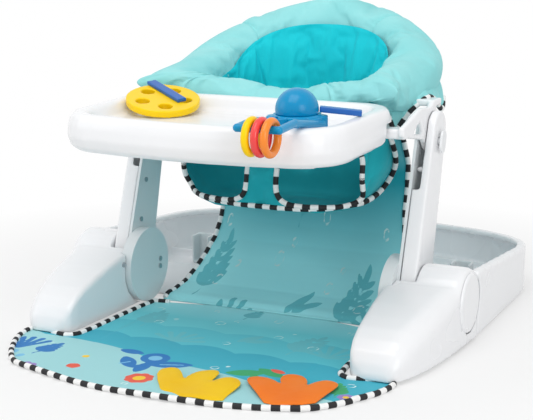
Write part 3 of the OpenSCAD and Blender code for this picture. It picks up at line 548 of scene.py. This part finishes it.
def pouch_point(angle, t):
    """t runs from -1, the middle of the bottom, over 0, its edge, to 4, the top hem."""
    z, half, front, rear = smooth_level(max(t, 0))
    x, y, _ = squircle(angle, half, front, rear, POUCH_POWER)
    if t < 0:
        x, y = x * (1 + t), (front + rear) / 2 + (y - (front + rear) / 2) * (1 + t)
        z -= 1.5 * sin(pi * (1 + t) / 2)
    return np.array((x, y, z))

def leg_distance(x, z):
    """Below 1 inside a leg opening, a squared oval."""
    across, up = abs((abs(x) - LEG_X) / (LEG_W / 2)), abs((z - LEG_Z) / (LEG_H / 2))
    return (across ** LEG_POWER + up ** LEG_POWER) ** (1 / LEG_POWER)

def in_opening(p):
    return p[1] < 40 and leg_distance(p[0], p[2]) < 1

# %% The mesh of the pouch
AROUND, UP = 200, 60
points = [pouch_point(0, -1)]
for t in np.linspace(-0.9, 4, UP):
    points += [pouch_point(2 * pi * i / AROUND, t) for i in range(AROUND)]
points = np.array(points)
cells = [(0, 1 + i, 1 + (i + 1) % AROUND) for i in range(AROUND)]
for j in range(UP - 1):
    for i in range(AROUND):
        a, b = 1 + j * AROUND + i, 1 + j * AROUND + (i + 1) % AROUND
        cells.append((a, a + AROUND, b + AROUND, b))
cells = [c for c in cells if not in_opening(points[list(c)].mean(axis=0))]
count = {}
for c in cells:
    for k, p in enumerate(c):
        edge = tuple(sorted((p, c[(k + 1) % len(c)])))
        count[edge] = count.get(edge, 0) + 1
# the edges of just one face are the rim
rim = {p for edge, uses in count.items() if uses == 1 for p in edge if points[p][2] < 270}
for p in rim:
    x, y, z = points[p]
    side, reach = copysign(1, x), leg_distance(x, z)
    points[p][0] = side * (LEG_X + (abs(x) - LEG_X) / reach)
    points[p][2] = LEG_Z + (z - LEG_Z) / reach
used = sorted({p for c in cells for p in c})
number = {p: k for k, p in enumerate(used)}
pouch = plain_mesh("pouch", row_frame(points[used]), [[number[p] for p in c] for c in cells],
                   POUCH)
pinned = [number[p] for p in used if p in rim or points[p][2] > 274]
print("pouch:", len(cells), "cells,", len(pinned), "pinned points")

# %% Fill the pouch a little
fill_cloth(pouch, pinned, 0.6, 0.03, 0.005, 0.2)
thicken(pouch, 0.0018, 0)
subdivided(pouch)
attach(pouch, "seat")
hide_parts("seat_pouch")
print("pouch:", len(pouch.data.polygons), "faces")

# %% [markdown]
# The mat and its flaps are cut from quilted cloth. Each is a fine grid inside its cut line: cells
# with their middle inside are kept, and the outer points move on to the line. The printed design
# is stored as distances on the points, one attribute for each ink: a distance changes evenly
# between points, so the shader can draw a sharp edge even on a coarse mesh.

# %% Cut a sheet along an outline
def close_curve(points, step=4.0):
    """Points at even steps along a closed line, with its corners cut once."""
    points = np.asarray(points, float)
    nxt = np.roll(points, -1, axis=0)
    cut = np.empty((len(points) * 2, 2))
    cut[0::2], cut[1::2] = points * 0.75 + nxt * 0.25, points * 0.25 + nxt * 0.75
    loop = np.vstack([cut, cut[:1]])
    run = length_along(loop)
    at = np.arange(0, run[-1], run[-1] / round(run[-1] / step))
    return np.column_stack([np.interp(at, run, loop[:, k]) for k in (0, 1)])

def inside(points, line):
    x, y = points[:, :1], points[:, 1:2]
    x0, y0 = line[:, 0], line[:, 1]
    x1, y1 = np.roll(x0, -1), np.roll(y0, -1)
    crosses = ((y0 > y) != (y1 > y)) & (x < (x1 - x0) * (y - y0) / (y1 - y0 + 1e-12) + x0)
    return crosses.sum(axis=1) % 2 == 1

def edge_distance(points, line):
    return np.min(np.linalg.norm(points[:, None] - line[None], axis=2), axis=1)

def cut_sheet(name, line, cell, height, material):
    """height(x, y, distance to the edge) gives the top face, in millimetres."""
    low, high = line.min(axis=0), line.max(axis=0)
    nx, ny = (np.ceil((high - low) / cell).astype(int) + 1)
    grid = np.array([(low[0] + i * cell, low[1] + j * cell) for j in range(ny) for i in range(nx)])
    corners = np.array([(j * nx + i, j * nx + i + 1, (j + 1) * nx + i + 1, (j + 1) * nx + i)
                        for j in range(ny - 1) for i in range(nx - 1)])
    corners = corners[inside(grid[corners].mean(axis=1), line)]
    edges = np.sort(np.vstack([corners[:, [k, (k + 1) % 4]] for k in range(4)]), axis=1)
    pairs, uses = np.unique(edges, axis=0, return_counts=True)
    rim = np.unique(pairs[uses == 1])
    near = np.argmin(np.linalg.norm(grid[rim][:, None] - line[None], axis=2), axis=1)
    grid[rim] = line[near]
    used, faces = np.unique(corners, return_inverse=True)
    flat = grid[used]
    far = edge_distance(flat, line)
    z = np.array([height(x, y, d) for (x, y), d in zip(flat, far)])
    points = row_frame(np.column_stack([flat, z]))
    return plain_mesh(name, points, faces.reshape(-1, 4).tolist(), material), flat

def nearest(values, low, high):
    t = np.clip((values - low) / (high - low), 0, 1)
    return t * t * (3 - 2 * t)

# %% [markdown]
# The print is a plain seaside pattern: bands of waves, bubbles, leafy sprigs, fans of weed,
# rosettes and stars. Shapes given as distances stay sharp at any size and need no picture file.

# %% Shapes of the print, as distances in millimetres
def circle_at(p, x, y, r):
    return np.hypot(p[:, 0] - x, p[:, 1] - y) - r

def bar_between(p, ax, ay, bx, by, r0, r1=None):
    """A bar whose half width goes from r0 to r1."""
    a, d = np.array((ax, ay)), np.array((bx - ax, by - ay), float)
    t = np.clip(((p - a) @ d) / (d @ d), 0, 1)
    r1 = r0 if r1 is None else r1
    return np.linalg.norm(p - a - t[:, None] * d, axis=1) - (r0 + (r1 - r0) * t)

def leaf_at(p, x, y, length, width, turn):
    """A pointed leaf: the part that two circles share."""
    r = (length ** 2 / 4 + width ** 2 / 4) / width
    c, s = cos(radians(turn)), sin(radians(turn))
    q = np.column_stack([(p[:, 0] - x) * c + (p[:, 1] - y) * s, -(p[:, 0] - x) * s + (p[:, 1] - y) * c])
    above, below = (np.hypot(q[:, 0], q[:, 1] + hand * (r - width / 2)) for hand in (1, -1))
    return np.maximum(above, below) - r

def star_at(p, x, y, r, turn=0):
    a = np.arctan2(p[:, 1] - y, p[:, 0] - x) - radians(turn)
    a = np.abs((a + pi / 5) % (2 * pi / 5) - pi / 5)
    d = np.hypot(p[:, 0] - x, p[:, 1] - y)
    return d * np.cos(a) + 0.62 * d * np.sin(a) - r * 0.62

def sprig(p, x, y, tall, turn, leaves=4, width=9):
    """A stem with a pair of leaves at each step."""
    c, s = cos(radians(turn)), sin(radians(turn))
    parts = [bar_between(p, x, y, x + tall * c, y + tall * s, 1.6, 1.0)]
    for k in range(leaves):
        f = tall * (0.25 + 0.7 * k / leaves)
        size = tall * (0.42 - 0.22 * k / leaves)
        for hand in (-1, 1):
            t = radians(turn + hand * 48)
            parts.append(leaf_at(p, x + f * c + size / 2 * cos(t),
                                 y + f * s + size / 2 * sin(t), size,
                                 width * size / (tall * 0.42), turn + hand * 48))
    parts.append(leaf_at(p, x + tall * c, y + tall * s, tall * 0.3, width * 0.8, turn))
    return np.min(parts, axis=0)

def fan(p, x, y, r, turn, blades=6, spread_by=130):
    """Round-ended blades from one foot, like a small palm of weed."""
    parts = []
    for k in range(blades):
        t = radians(turn + spread_by * (k / (blades - 1) - 0.5))
        parts.append(bar_between(p, x, y, x + r * cos(t), y + r * sin(t), 1.5, 4.2))
    return np.min(parts, axis=0)

def rosette(p, x, y, r, petals=7):
    parts = [circle_at(p, x + r * 0.62 * cos(k * tau / petals),
                       y + r * 0.62 * sin(k * tau / petals), r * 0.36)
             for k in range(petals)]
    return np.min(parts, axis=0)

# %% The motifs of each ink: a shape, its place and its measures
MOTIFS = {
    "shade_print": [
        (sprig, -132, -120, 74, 96, 5, 11), (sprig, 98, -150, 84, 78, 5, 12),
        (fan, 150, -140, 46, 90), (fan, -60, -160, 40, 84), (leaf_at, 30, -110, 46, 15, 60),
        (leaf_at, 46, -116, 40, 13, 30), (sprig, -20, -30, 44, 80, 4, 8)],
    "blue_print": [
        (fan, -226, -268, 44, 118, 7, 110), (sprig, -196, -282, 50, 78, 4, 10),
        (circle_at, -44, -232, 19), (leaf_at, -14, -246, 58, 24, 24),
        (leaf_at, -68, -258, 46, 20, -48), (leaf_at, -42, -268, 42, 18, -90),
        (leaf_at, -84, -222, 38, 16, 176)],
    "light_blue_print": [
        (circle_at, -44, -232, 9), (bar_between, -26, -251, 0, -240, 1.6),
        (bar_between, -66, -256, -76, -268, 1.5), (circle_at, -226, -282, 8),
        (circle_at, -206, -294, 6)],
    "green_print": [
        (leaf_at, 84, -234, 52, 22, 20), (leaf_at, 112, -222, 46, 19, -24),
        (leaf_at, 104, -250, 36, 15, -60), (sprig, 214, -268, 46, 104, 4, 10)],
    "violet_print": [
        (rosette, -176, -330, 18), (fan, -236, -316, 24, 60, 5, 120), (rosette, 226, -262, 11)],
    "coral_print": [
        (rosette, -24, -306, 19, 8), (star_at, -122, -300, 16, 8),
        (leaf_at, 150, -262, 30, 12, 30), (leaf_at, 118, -214, 26, 11, -20)],
    "yellow_print": [
        (circle_at, -24, -306, 8), (circle_at, -176, -330, 5.5), (star_at, 2, -290, 9, 20),
        (star_at, 160, -244, 9, 40), (star_at, -128, -262, 9), (circle_at, 226, -262, 4)],
}
# bubbles are thin rings: place and radius
BUBBLES = [(-40, -60, 7), (-22, -44, 4), (60, -86, 6), (74, -66, 3.5), (120, -110, 7),
           (-120, -90, 6), (-104, -70, 3.5), (10, -140, 5), (140, -30, 5), (-150, -30, 5),
           (30, -20, 6), (-70, -10, 4), (-200, -236, 6), (40, -232, 5), (54, -222, 3),
           (216, -222, 6), (-30, -330, 4), (150, -296, 4)]
# bands of waves: base, height, length, shift along the wave and slope
WAVES = {"pale_band": (-104, 12, 92, 10, 0.02), "mid_band": (-172, 13, 78, 40, -0.03),
         "deep_band": (-250, 14, 190, 40, -0.2)}

def mat_inks(p):
    """The distance of each point from each ink, below nought inside it."""
    x, y = p[:, 0], p[:, 1]
    inks = {ink: y - base - slope * x
            - high * np.abs(np.sin((x + shift) * pi / length)) ** 0.8
            for ink, (base, high, length, shift, slope) in WAVES.items()}
    for ink, motifs in MOTIFS.items():
        inks[ink] = np.min([shape(p, *numbers) for shape, *numbers in motifs], axis=0)
    rings = [np.abs(circle_at(p, *b)) - (0.9 if b[1] > -200 else 1.0) for b in BUBBLES]
    inks["white_print"] = np.min(rings, axis=0)
    return inks

print("motifs:", sum(map(len, MOTIFS.values())), "and", len(BUBBLES), "bubbles")

# %% [markdown]
# Screen printing lays one ink after another on a dyed cloth. The shader does the same: from the
# ground up, each ink covers what is below it wherever its stored distance is below nought.

# %% The printed cloth
INKS = {"pale_band": "5CC8D6", "mid_band": "40B2C8", "deep_band": "A2D8DC", "shade_print": "6CC6D0",
        "white_print": "D9F1F0", "blue_print": "2C79BE", "light_blue_print": "7FC4E8",
        "green_print": "3FA86E", "violet_print": "9C86C6", "coral_print": "E8604C",
        "yellow_print": "F8CF3A"}

def printed_cloth(name, ground, inks, far):
    """far is the colour that the ground turns to where the attribute "rise" goes from 0 to 1."""
    mat, tree, shader = new_material(name, srgb(ground), 0.72, Sheen_Weight=0.06,
                                     Specular_IOR_Level=0.25)
    colour = tones(tree, spread(tree, noise(tree, 10, 3), 0, 1), srgb(ground),
                   tuple(min(1, c * 1.08) for c in srgb(ground)))
    rise = node(tree, "Attribute", attribute_name="rise")
    colour = layer(tree, colour, srgb(far), rise.outputs["Fac"])
    for ink in inks:
        distance = node(tree, "Attribute", attribute_name=ink)
        edge = spread(tree, distance.outputs["Fac"], 1, 0, -0.35, 0.35)
        colour = layer(tree, colour, srgb(INKS[ink]), edge)
    tree.links.new(colour, shader.inputs["Base Color"])
    soft = bump(tree, shader, noise(tree, 30, 2), 0.2, 0.003)
    bump(tree, shader, noise(tree, 1600, 1), 0.1, 0.0003, soft)
    return mat

def store(obj, values):
    """Keep a number for each point, under a name that a shader can read."""
    for key, numbers in values.items():
        made = obj.data.attributes.new(key, "FLOAT", "POINT")
        made.data.foreach_set("value", np.asarray(numbers, np.float32))

PANEL_INKS = ("shade_print", "white_print")
MAT_CLOTH = printed_cloth("Printed mat cloth", "6CD0DA", INKS, "A8F0F6")
# The panel's ground, 26A8B6, is painted shade: it shows at the top, under the pouch, and turns to the
# lighter cloth colour A8F0F6 lower down.
PANEL_CLOTH_PAINTED_SHADE = printed_cloth("Printed panel cloth with painted shade", "26A8B6", PANEL_INKS, "A8F0F6")
print("inks:", len(INKS))

# %% [markdown]
# The mat lies on the floor, runs out in a lobe beside each foot and is cut back round the feet. Its
# outline is drawn for the right half and mirrored. It is too thin and too well held down to drape,
# so its puffs and waves are a sum of slow sines instead of a simulation.

# %% The play mat
MAT_FRONT = -356
right = [(x, MAT_FRONT + 38 * (x / 200) ** 2) for x in range(0, 201, 25)]
right += [(225, -288), (242, -259), (256, -230), (262, -200), (258, -188), (246, -187),
          (212, -198), (198, -198), (186, -184), (183, -60), (176, 15.6)]
mat_line = close_curve(right + [(-x, y) for x, y in right[::-1] if x], 3.0)

def mat_top(x, y, d):
    """Puffed cloth, flat where the feet stand and at the rear, with a few waves along the front."""
    free = nearest(-y, 170, 240) if abs(x) > 150 else nearest(-y, 20, 120)
    puff = 2.6 + 1.4 * nearest(d, 0, 14) * (0.6 + 0.4 * sin(x / 31 + 1) * sin(y / 27))
    front = nearest(-y, 270, 360) if abs(x) < 236 else nearest(-y, 200, 300)
    lift = 2.2 * front * (0.5 + 0.5 * sin(x / 30 + 0.6)) * (1 - 0.5 * nearest(d, 0, 60))
    return 2.6 + (puff - 2.6) * free + lift * free

mat, flat = cut_sheet("play_mat", mat_line, 3.4, mat_top, MAT_CLOTH)
store(mat, {**mat_inks(flat), "rise": np.clip((flat[:, 1] + 60) / 70, 0, 1)})
thicken(mat, 0.0022)
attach(mat, "base")
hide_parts("floor_mat")
print("mat:", len(mat.data.polygons), "faces")

# %% [markdown]
# Two flaps of plain cloth lie on the mat, sewn down at its front edge and free behind, so that a
# child can lift them. They rise a little towards their free lobes.

# %% The two lobed flaps
YELLOW_LINE = [(30, 10), (-7, 61), (-13, 81), (-6, 91), (6, 92), (20, 78), (31, 62), (30, 76),
               (34, 94), (44, 105), (53, 106), (61, 98), (64, 84), (65, 64), (71, 80), (80, 89),
               (91, 89), (101, 76), (102, 58), (101, 40), (104, 17)]
ORANGE_LINE = [(156, 28), (129, 56), (101, 88), (98, 100), (105, 107), (118, 106), (135, 99),
               (145, 92), (135, 110), (135, 124), (143, 132), (154, 133), (167, 120), (175, 98),
               (177, 110), (184, 122), (192, 128), (202, 126), (207, 120), (208, 106), (206, 81),
               (204, 48)]

def flap_top(x, y, d):
    free = nearest(y - MAT_FRONT - 10, 10, 80)
    return 5.2 + 1.6 * nearest(d, 0, 8) + 3.0 * free + 0.8 * sin(x / 9)

def flap(name, outline, material, node_name, slot_name):
    line = close_curve([(x, y + MAT_FRONT) for x, y in outline], 1.5)
    made, _ = cut_sheet(name, line, 2.4, flap_top, material)
    thicken(made, 0.0012)
    subdivided(made)
    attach(made, "base")
    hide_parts(node_name)
    return made

yellow = flap("yellow_lobed_flap", YELLOW_LINE, YELLOW_CLOTH, "yellow_flap", "yellow_cloth")
orange = flap("orange_lobed_flap", ORANGE_LINE, ORANGE_CLOTH, "orange_flap", "orange_cloth")
print("flaps:", len(yellow.data.polygons) + len(orange.data.polygons), "faces")

# %% [markdown]
# Behind the child's legs the mat goes on as an upright panel, up to the underside of the ring. It
# is one strip of cloth along a curved line, wider at the floor, with shallow folds across.

# %% The upright panel
PANEL = np.array([(17.0, 0), (23.6, 2), (28, 7), (45, 7.6), (76, 14), (100, 28), (125, 47),
                  (145, 70), (158, 98), (165, 132), (170, 168), (173, 205), (170, 240),
                  (162, 272)], float)
PANEL_HALF = (174, 173, 172, 171, 169, 165, 159, 153, 150, 147, 149, 148, 140, 128)
run = length_along(PANEL)

def panel_at(t, s):
    """t along the line in millimetres, s from -1 to 1 across."""
    y, z, half = (np.interp(t, run, values) for values in (PANEL[:, 0], PANEL[:, 1], PANEL_HALF))
    dy, dz = (np.interp(t + 3, run, PANEL[:, k]) - np.interp(t - 3, run, PANEL[:, k]) for k in (0, 1))
    steep = hypot(dy, dz) or 1
    normal = np.array((0, -dz / steep, dy / steep))
    quiet = nearest(t, 30, 120)
    wave = (2.2 * quiet * sin(s * 5 + t / 46) * cos(t / 29 + s)
            + 1.8 * quiet * sin(s * 2.2 - 0.5))
    return np.array((half * s, y, z)) + normal * (2.2 + wave + 1.4 * (1 - s ** 8))

steps_t, steps_s = np.linspace(0, run[-1], 110), np.linspace(-1, 1, 90)
points = np.array([[panel_at(t, s) for s in steps_s] for t in steps_t])
panel = grid_mesh("upright_panel", points, PANEL_CLOTH_PAINTED_SHADE, False)
flat = np.array([(s * 170, t - 200) for t in steps_t for s in steps_s])
inks = mat_inks(flat * (1, 0.55) + (0, -20))
store(panel, {ink: inks[ink] for ink in PANEL_INKS})
# Painted shade on the panel: "rise" is 0 at the top, under the pouch, where the dark ground shows, and
# 1 low down.
heights = points[..., 2].ravel()
# Painted light: the upper sides, beside the pouch, are lifted to a rise of 0.4, so they show lighter
# than the shaded middle.
painted_light_sides = (0.4 * np.clip((heights - 190) / 20, 0, 1)
         * np.clip((np.abs(flat[:, 0]) - 110) / 50, 0, 1))
store(panel, {"rise": np.maximum(np.clip((176 - heights) / 130, 0, 1), painted_light_sides)})
thicken(panel, 0.0022, 1)
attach(panel, "base")
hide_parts("leg_panel")
print("panel:", len(panel.data.polygons), "faces")

# %% [markdown]
# Striped piping runs round the mat, the panel and the leg openings. It repeats along a path, so a
# Geometry Nodes tree makes it: the line becomes a curve, its running length is stored for the
# stripes, and a small circle is swept along it. Radius, step and cloth are named inputs.

# %% The tree of the striped piping
def new_tree(name, inputs):
    tree = bpy.data.node_groups.new(name, "GeometryNodeTree")
    tree.interface.new_socket("Geometry", in_out="INPUT", socket_type="NodeSocketGeometry")
    for label, kind in inputs:
        tree.interface.new_socket(label, in_out="INPUT", socket_type="NodeSocket" + kind)
    tree.interface.new_socket("Geometry", in_out="OUTPUT", socket_type="NodeSocketGeometry")
    return tree, tree.nodes.new("NodeGroupInput"), tree.nodes.new("NodeGroupOutput")

def geo(tree, kind, **values):
    return node(tree, kind, "GeometryNode", **values)

tree, given, result = new_tree("Striped piping", [("Radius", "Float"), ("Step", "Float"),
                                                  ("Cloth", "Material")])
curve, even = geo(tree, "MeshToCurve"), geo(tree, "ResampleCurve")
even.mode = "LENGTH"
length = geo(tree, "SplineParameter")
keep_run = geo(tree, "StoreNamedAttribute", data_type="FLOAT", domain="POINT")
keep_run.inputs["Name"].default_value = "run"
circle, sweep = geo(tree, "CurvePrimitiveCircle"), geo(tree, "CurveToMesh")
circle.inputs["Resolution"].default_value = 10
sweep.inputs["Fill Caps"].default_value = True
smooth, real = geo(tree, "SetShadeSmooth"), geo(tree, "RealizeInstances")
cover = geo(tree, "SetMaterial")
for source, output, target, entry in (
        (given, "Geometry", curve, "Mesh"), (curve, "Curve", even, "Curve"),
        (given, "Step", even, "Length"), (even, "Curve", keep_run, "Geometry"),
        (length, "Length", keep_run, "Value"), (keep_run, "Geometry", sweep, "Curve"),
        (given, "Radius", circle, "Radius"), (circle, "Curve", sweep, "Profile Curve"),
        (sweep, "Mesh", smooth, "Geometry"), (smooth, "Geometry", real, "Geometry"),
        (real, "Geometry", cover, "Geometry"), (given, "Cloth", cover, "Material"),
        (cover, "Geometry", result, "Geometry")):
    tree.links.new(source.outputs[output], target.inputs[entry])
PIPING_TREE = tree
print("piping tree:", len(tree.nodes), "nodes")

# %% [markdown]
# The stripes are cut from one woven tape, so they follow the length that the tree stored: a ping-pong
# of it goes up and down once for each pair of stripes, and a steep step turns that to black or white.

# %% Striped cloth and a piping along a line
STRIPE, BLUR = 0.011, 0.0002
STRIPED, tree, shader = new_material("Black and white striped cloth", srgb("F2F2F2"), 0.7)
along = node(tree, "Attribute", attribute_name="run")
beat = node(tree, "Math", operation="PINGPONG")
beat.inputs[1].default_value = STRIPE
tree.links.new(along.outputs["Fac"], beat.inputs[0])
edge = spread(tree, beat.outputs["Value"], 0, 1, STRIPE / 2 - BLUR, STRIPE / 2 + BLUR)
tree.links.new(tones(tree, edge, srgb("F3F3F2"), srgb("17171B")), shader.inputs["Base Color"])
bump(tree, shader, noise(tree, 900, 1), 0.25, 0.0004)

def piping(name, points, body, closed=False, squash_to=None):
    """A line of points, in millimetres, through the piping tree and turned into a plain mesh."""
    count = len(points)
    mesh = bpy.data.meshes.new(name)
    edges = [(k, (k + 1) % count) for k in range(count if closed else count - 1)]
    mesh.from_pydata([tuple(p) for p in row_frame(points)], edges, [])
    made = added(name, mesh)
    swept = made.modifiers.new("Tree", "NODES")
    swept.node_group = PIPING_TREE
    values = {"Radius": 0.0037, "Step": 0.003, "Cloth": STRIPED}
    for item in PIPING_TREE.interface.items_tree:
        if item.in_out == "INPUT" and item.name in values:
            swept[item.identifier] = values[item.name]
    bake(made)
    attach(made, body)
    if squash_to:
        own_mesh(made)
    return made

# %% [markdown]
# When the frame folds, the ring comes down on the base. A fold is listed for the pouch and for the
# panel, and they and their piping get their own copies of their meshes; nothing here flattens them.

# %% Folds of the cloth, and piping of the mat and the panel
POUCH_FOLD = ("frame_fold", (0, 0.36, 0.933), (0, 0.04, 0.276), 0.26)
PANEL_FOLD = ("frame_fold", (0, 0, 1), (0, 0, 0), 0.16)
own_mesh(pouch)
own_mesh(panel)
turned = np.roll(mat_line, -int(np.argmin(np.hypot(mat_line[:, 0], mat_line[:, 1] - 15))), axis=0)
open_line = [p for p in turned if p[1] < 2]
mat_piping = piping("mat_piping",
                    [(x, y, max(3.4, mat_top(x, y, 0) + 0.6)) for x, y in open_line], "base")
panel_pipings = [piping(f"panel_piping_{s}", [panel_at(t, s) for t in np.linspace(4, run[-1], 160)],
                        "base", squash_to=PANEL_FOLD) for s in (-1, 1)]
print("piping of the mat and the panel:", 1 + len(panel_pipings))

# %% Piping of the leg openings
def pouch_front(x, z):
    """The front face of the pouch at this x and height, on the level's squared oval."""
    _, half, front, rear = smooth_level(np.interp(z, LEVELS[:, 0], range(5)))
    u = min(1, abs(x) / half)
    bulge = (1 - u ** POUCH_POWER) ** (1 / POUCH_POWER) if u < 1 else 0
    return (front + rear) / 2 - (rear - front) / 2 * bulge

for side in (-1, 1):
    loop = []
    for k in range(120):
        c, s = cos(k * tau / 120), sin(k * tau / 120)
        r = (abs(c) ** LEG_POWER + abs(s) ** LEG_POWER) ** (-1 / LEG_POWER)
        x, z = side * (LEG_X + LEG_W / 2 * r * c), LEG_Z + LEG_H / 2 * r * s
        loop.append((x, pouch_front(x, z) - 1, z))
    piping(f"leg_piping_{side}", loop, "seat", True, squash_to=POUCH_FOLD)

# %% Piping along the lower edge of the pouch, and of the skirts
# level and angle of the seam's points, from the right hem to the middle of the front
half_seam = [(3.95, -14), (3.23, -12), (2.86, -4), (2.4, 9), (2.0, 14), (1.7, 13), (1.45, 7),
             (1.32, -4), (1.2, -20), (1.2, -32), (1.14, -42), (1.08, -47), (1.02, -60),
             (1.0, -75), (1.0, -90)]
seam = half_seam + [(t, -180 - a) for t, a in half_seam[-2::-1]]
path = np.array([pouch_point(radians(a), t) * (1.01, 1.01, 1) for t, a in seam])
at = length_along(path)
path = [[np.interp(s, at, path[:, k]) for k in range(3)] for s in np.linspace(0, at[-1], 300)]
for _ in range(30):
    path = [path[0]] + [[(a[k] + 2 * b[k] + c[k]) / 4 for k in range(3)]
                        for a, b, c in zip(path, path[1:], path[2:])] + [path[-1]]
piping("pouch_seam_piping", path, "seat", squash_to=POUCH_FOLD)
skirt_pipings = [piping(f"skirt_piping_{k}", line[8:] + (0, 0, -1), "seat")
                 for k, line in enumerate(skirt_lines)]

# %% Soft pieces
def area_of(obj):
    return sum(p.area for p in obj.data.polygons) / 2

for piece in (mat, panel, pouch, liner, yellow, orange, *skirts):
    print(piece.name, "has a cloth area of", round(area_of(piece), 4), "m2")

# %% [markdown]
# ## Floor, light and camera
# The object stands on a pale floor in a white room. The camera rays see the floor a little lighter
# than it is, so that the picture keeps a white ground and a soft shadow without more light.

# %% Floor and room
def seen_rays(tree):
    """1 for the camera's rays, also by way of a mirror or glass, and 0 for those that light things."""
    rays = node(tree, "LightPath")
    seen = rays.outputs["Is Camera Ray"]
    for kind in ("Is Glossy Ray", "Is Transmission Ray"):
        either = node(tree, "Math", operation="MAXIMUM")
        tree.links.new(seen, either.inputs[0])
        tree.links.new(rays.outputs[kind], either.inputs[1])
        seen = either.outputs[0]
    return seen

FLOOR, tree, shader = new_material("Pale floor", (0.86, 0.86, 0.86), 0.9)
glow = node(tree, "Emission")
blend = node(tree, "MixShader")
share = node(tree, "Math", operation="MULTIPLY")
place = node(tree, "TexCoord")
reach = node(tree, "VectorMath", operation="LENGTH")
surface = tree.nodes["Material Output"].inputs["Surface"]
tree.links.new(place.outputs["Object"], reach.inputs[0])
far = spread(tree, reach.outputs["Value"], 0.5, 1.0, 0.4, 0.85)
for source, entry in ((far, share.inputs[0]), (seen_rays(tree), share.inputs[1]),
                      (share.outputs[0], blend.inputs["Fac"]), (shader.outputs[0], blend.inputs[1]),
                      (glow.outputs[0], blend.inputs[2]), (blend.outputs[0], surface)):
    tree.links.new(source, entry)
ground = plain_mesh("floor", [(-8, -8, 0), (8, -8, 0), (8, 8, 0), (-8, 8, 0)], [(0, 1, 2, 3)], FLOOR)

world = bpy.data.worlds.new("White room")
scene.world = world
world.use_nodes = True
tree = world.node_tree
background = tree.nodes["Background"]
background.inputs["Color"].default_value = (1, 1, 1, 1)
tree.links.new(spread(tree, seen_rays(tree), 0.62, 1.0, 0, 1), background.inputs["Strength"])
scene.view_settings.view_transform = "Standard"
print("room and floor are ready")

# %% [markdown]
# Three large square lamps light it from above and from both sides, the right one stronger, as in the
# photograph. The camera looks from the same side and height, with the lens that fits its perspective.

# %% Lamps
def lamp(name, place, size_m, watts, aim=(0, 0, 0.15)):
    data = bpy.data.lights.new(name, "AREA")
    data.shape, data.size, data.energy = "SQUARE", size_m, watts
    made = added(name, data)
    made.location = place
    made.rotation_mode = "QUATERNION"
    made.rotation_quaternion = (Vector(aim) - Vector(place)).to_track_quat("-Z", "Y")

lamp("Top light", (-0.1, -1.0, 2.2), 1.6, 20)
lamp("Left light", (-2.0, -1.2, 1.0), 1.2, 4.5)
lamp("Right light", (2.0, -1.6, 1.0), 1.2, 13)
print("lamps:", len(bpy.data.lights))

# %% The camera
camera = added("Camera", bpy.data.cameras.new("Camera"))
azimuth, elevation, distance = radians(25.2), radians(11.9), 1.7942
back = Vector((sin(azimuth) * cos(elevation), -cos(azimuth) * cos(elevation),
               sin(elevation)))
camera.location = Vector((0.0016, -0.037, 0.1544)) + back * distance
camera.rotation_mode = "QUATERNION"
camera.rotation_quaternion = (-back).to_track_quat("-Z", "Y")
camera.data.sensor_width, camera.data.lens = 36, 87.8
scene.camera = camera
print("camera at", [round(c, 3) for c in camera.location])
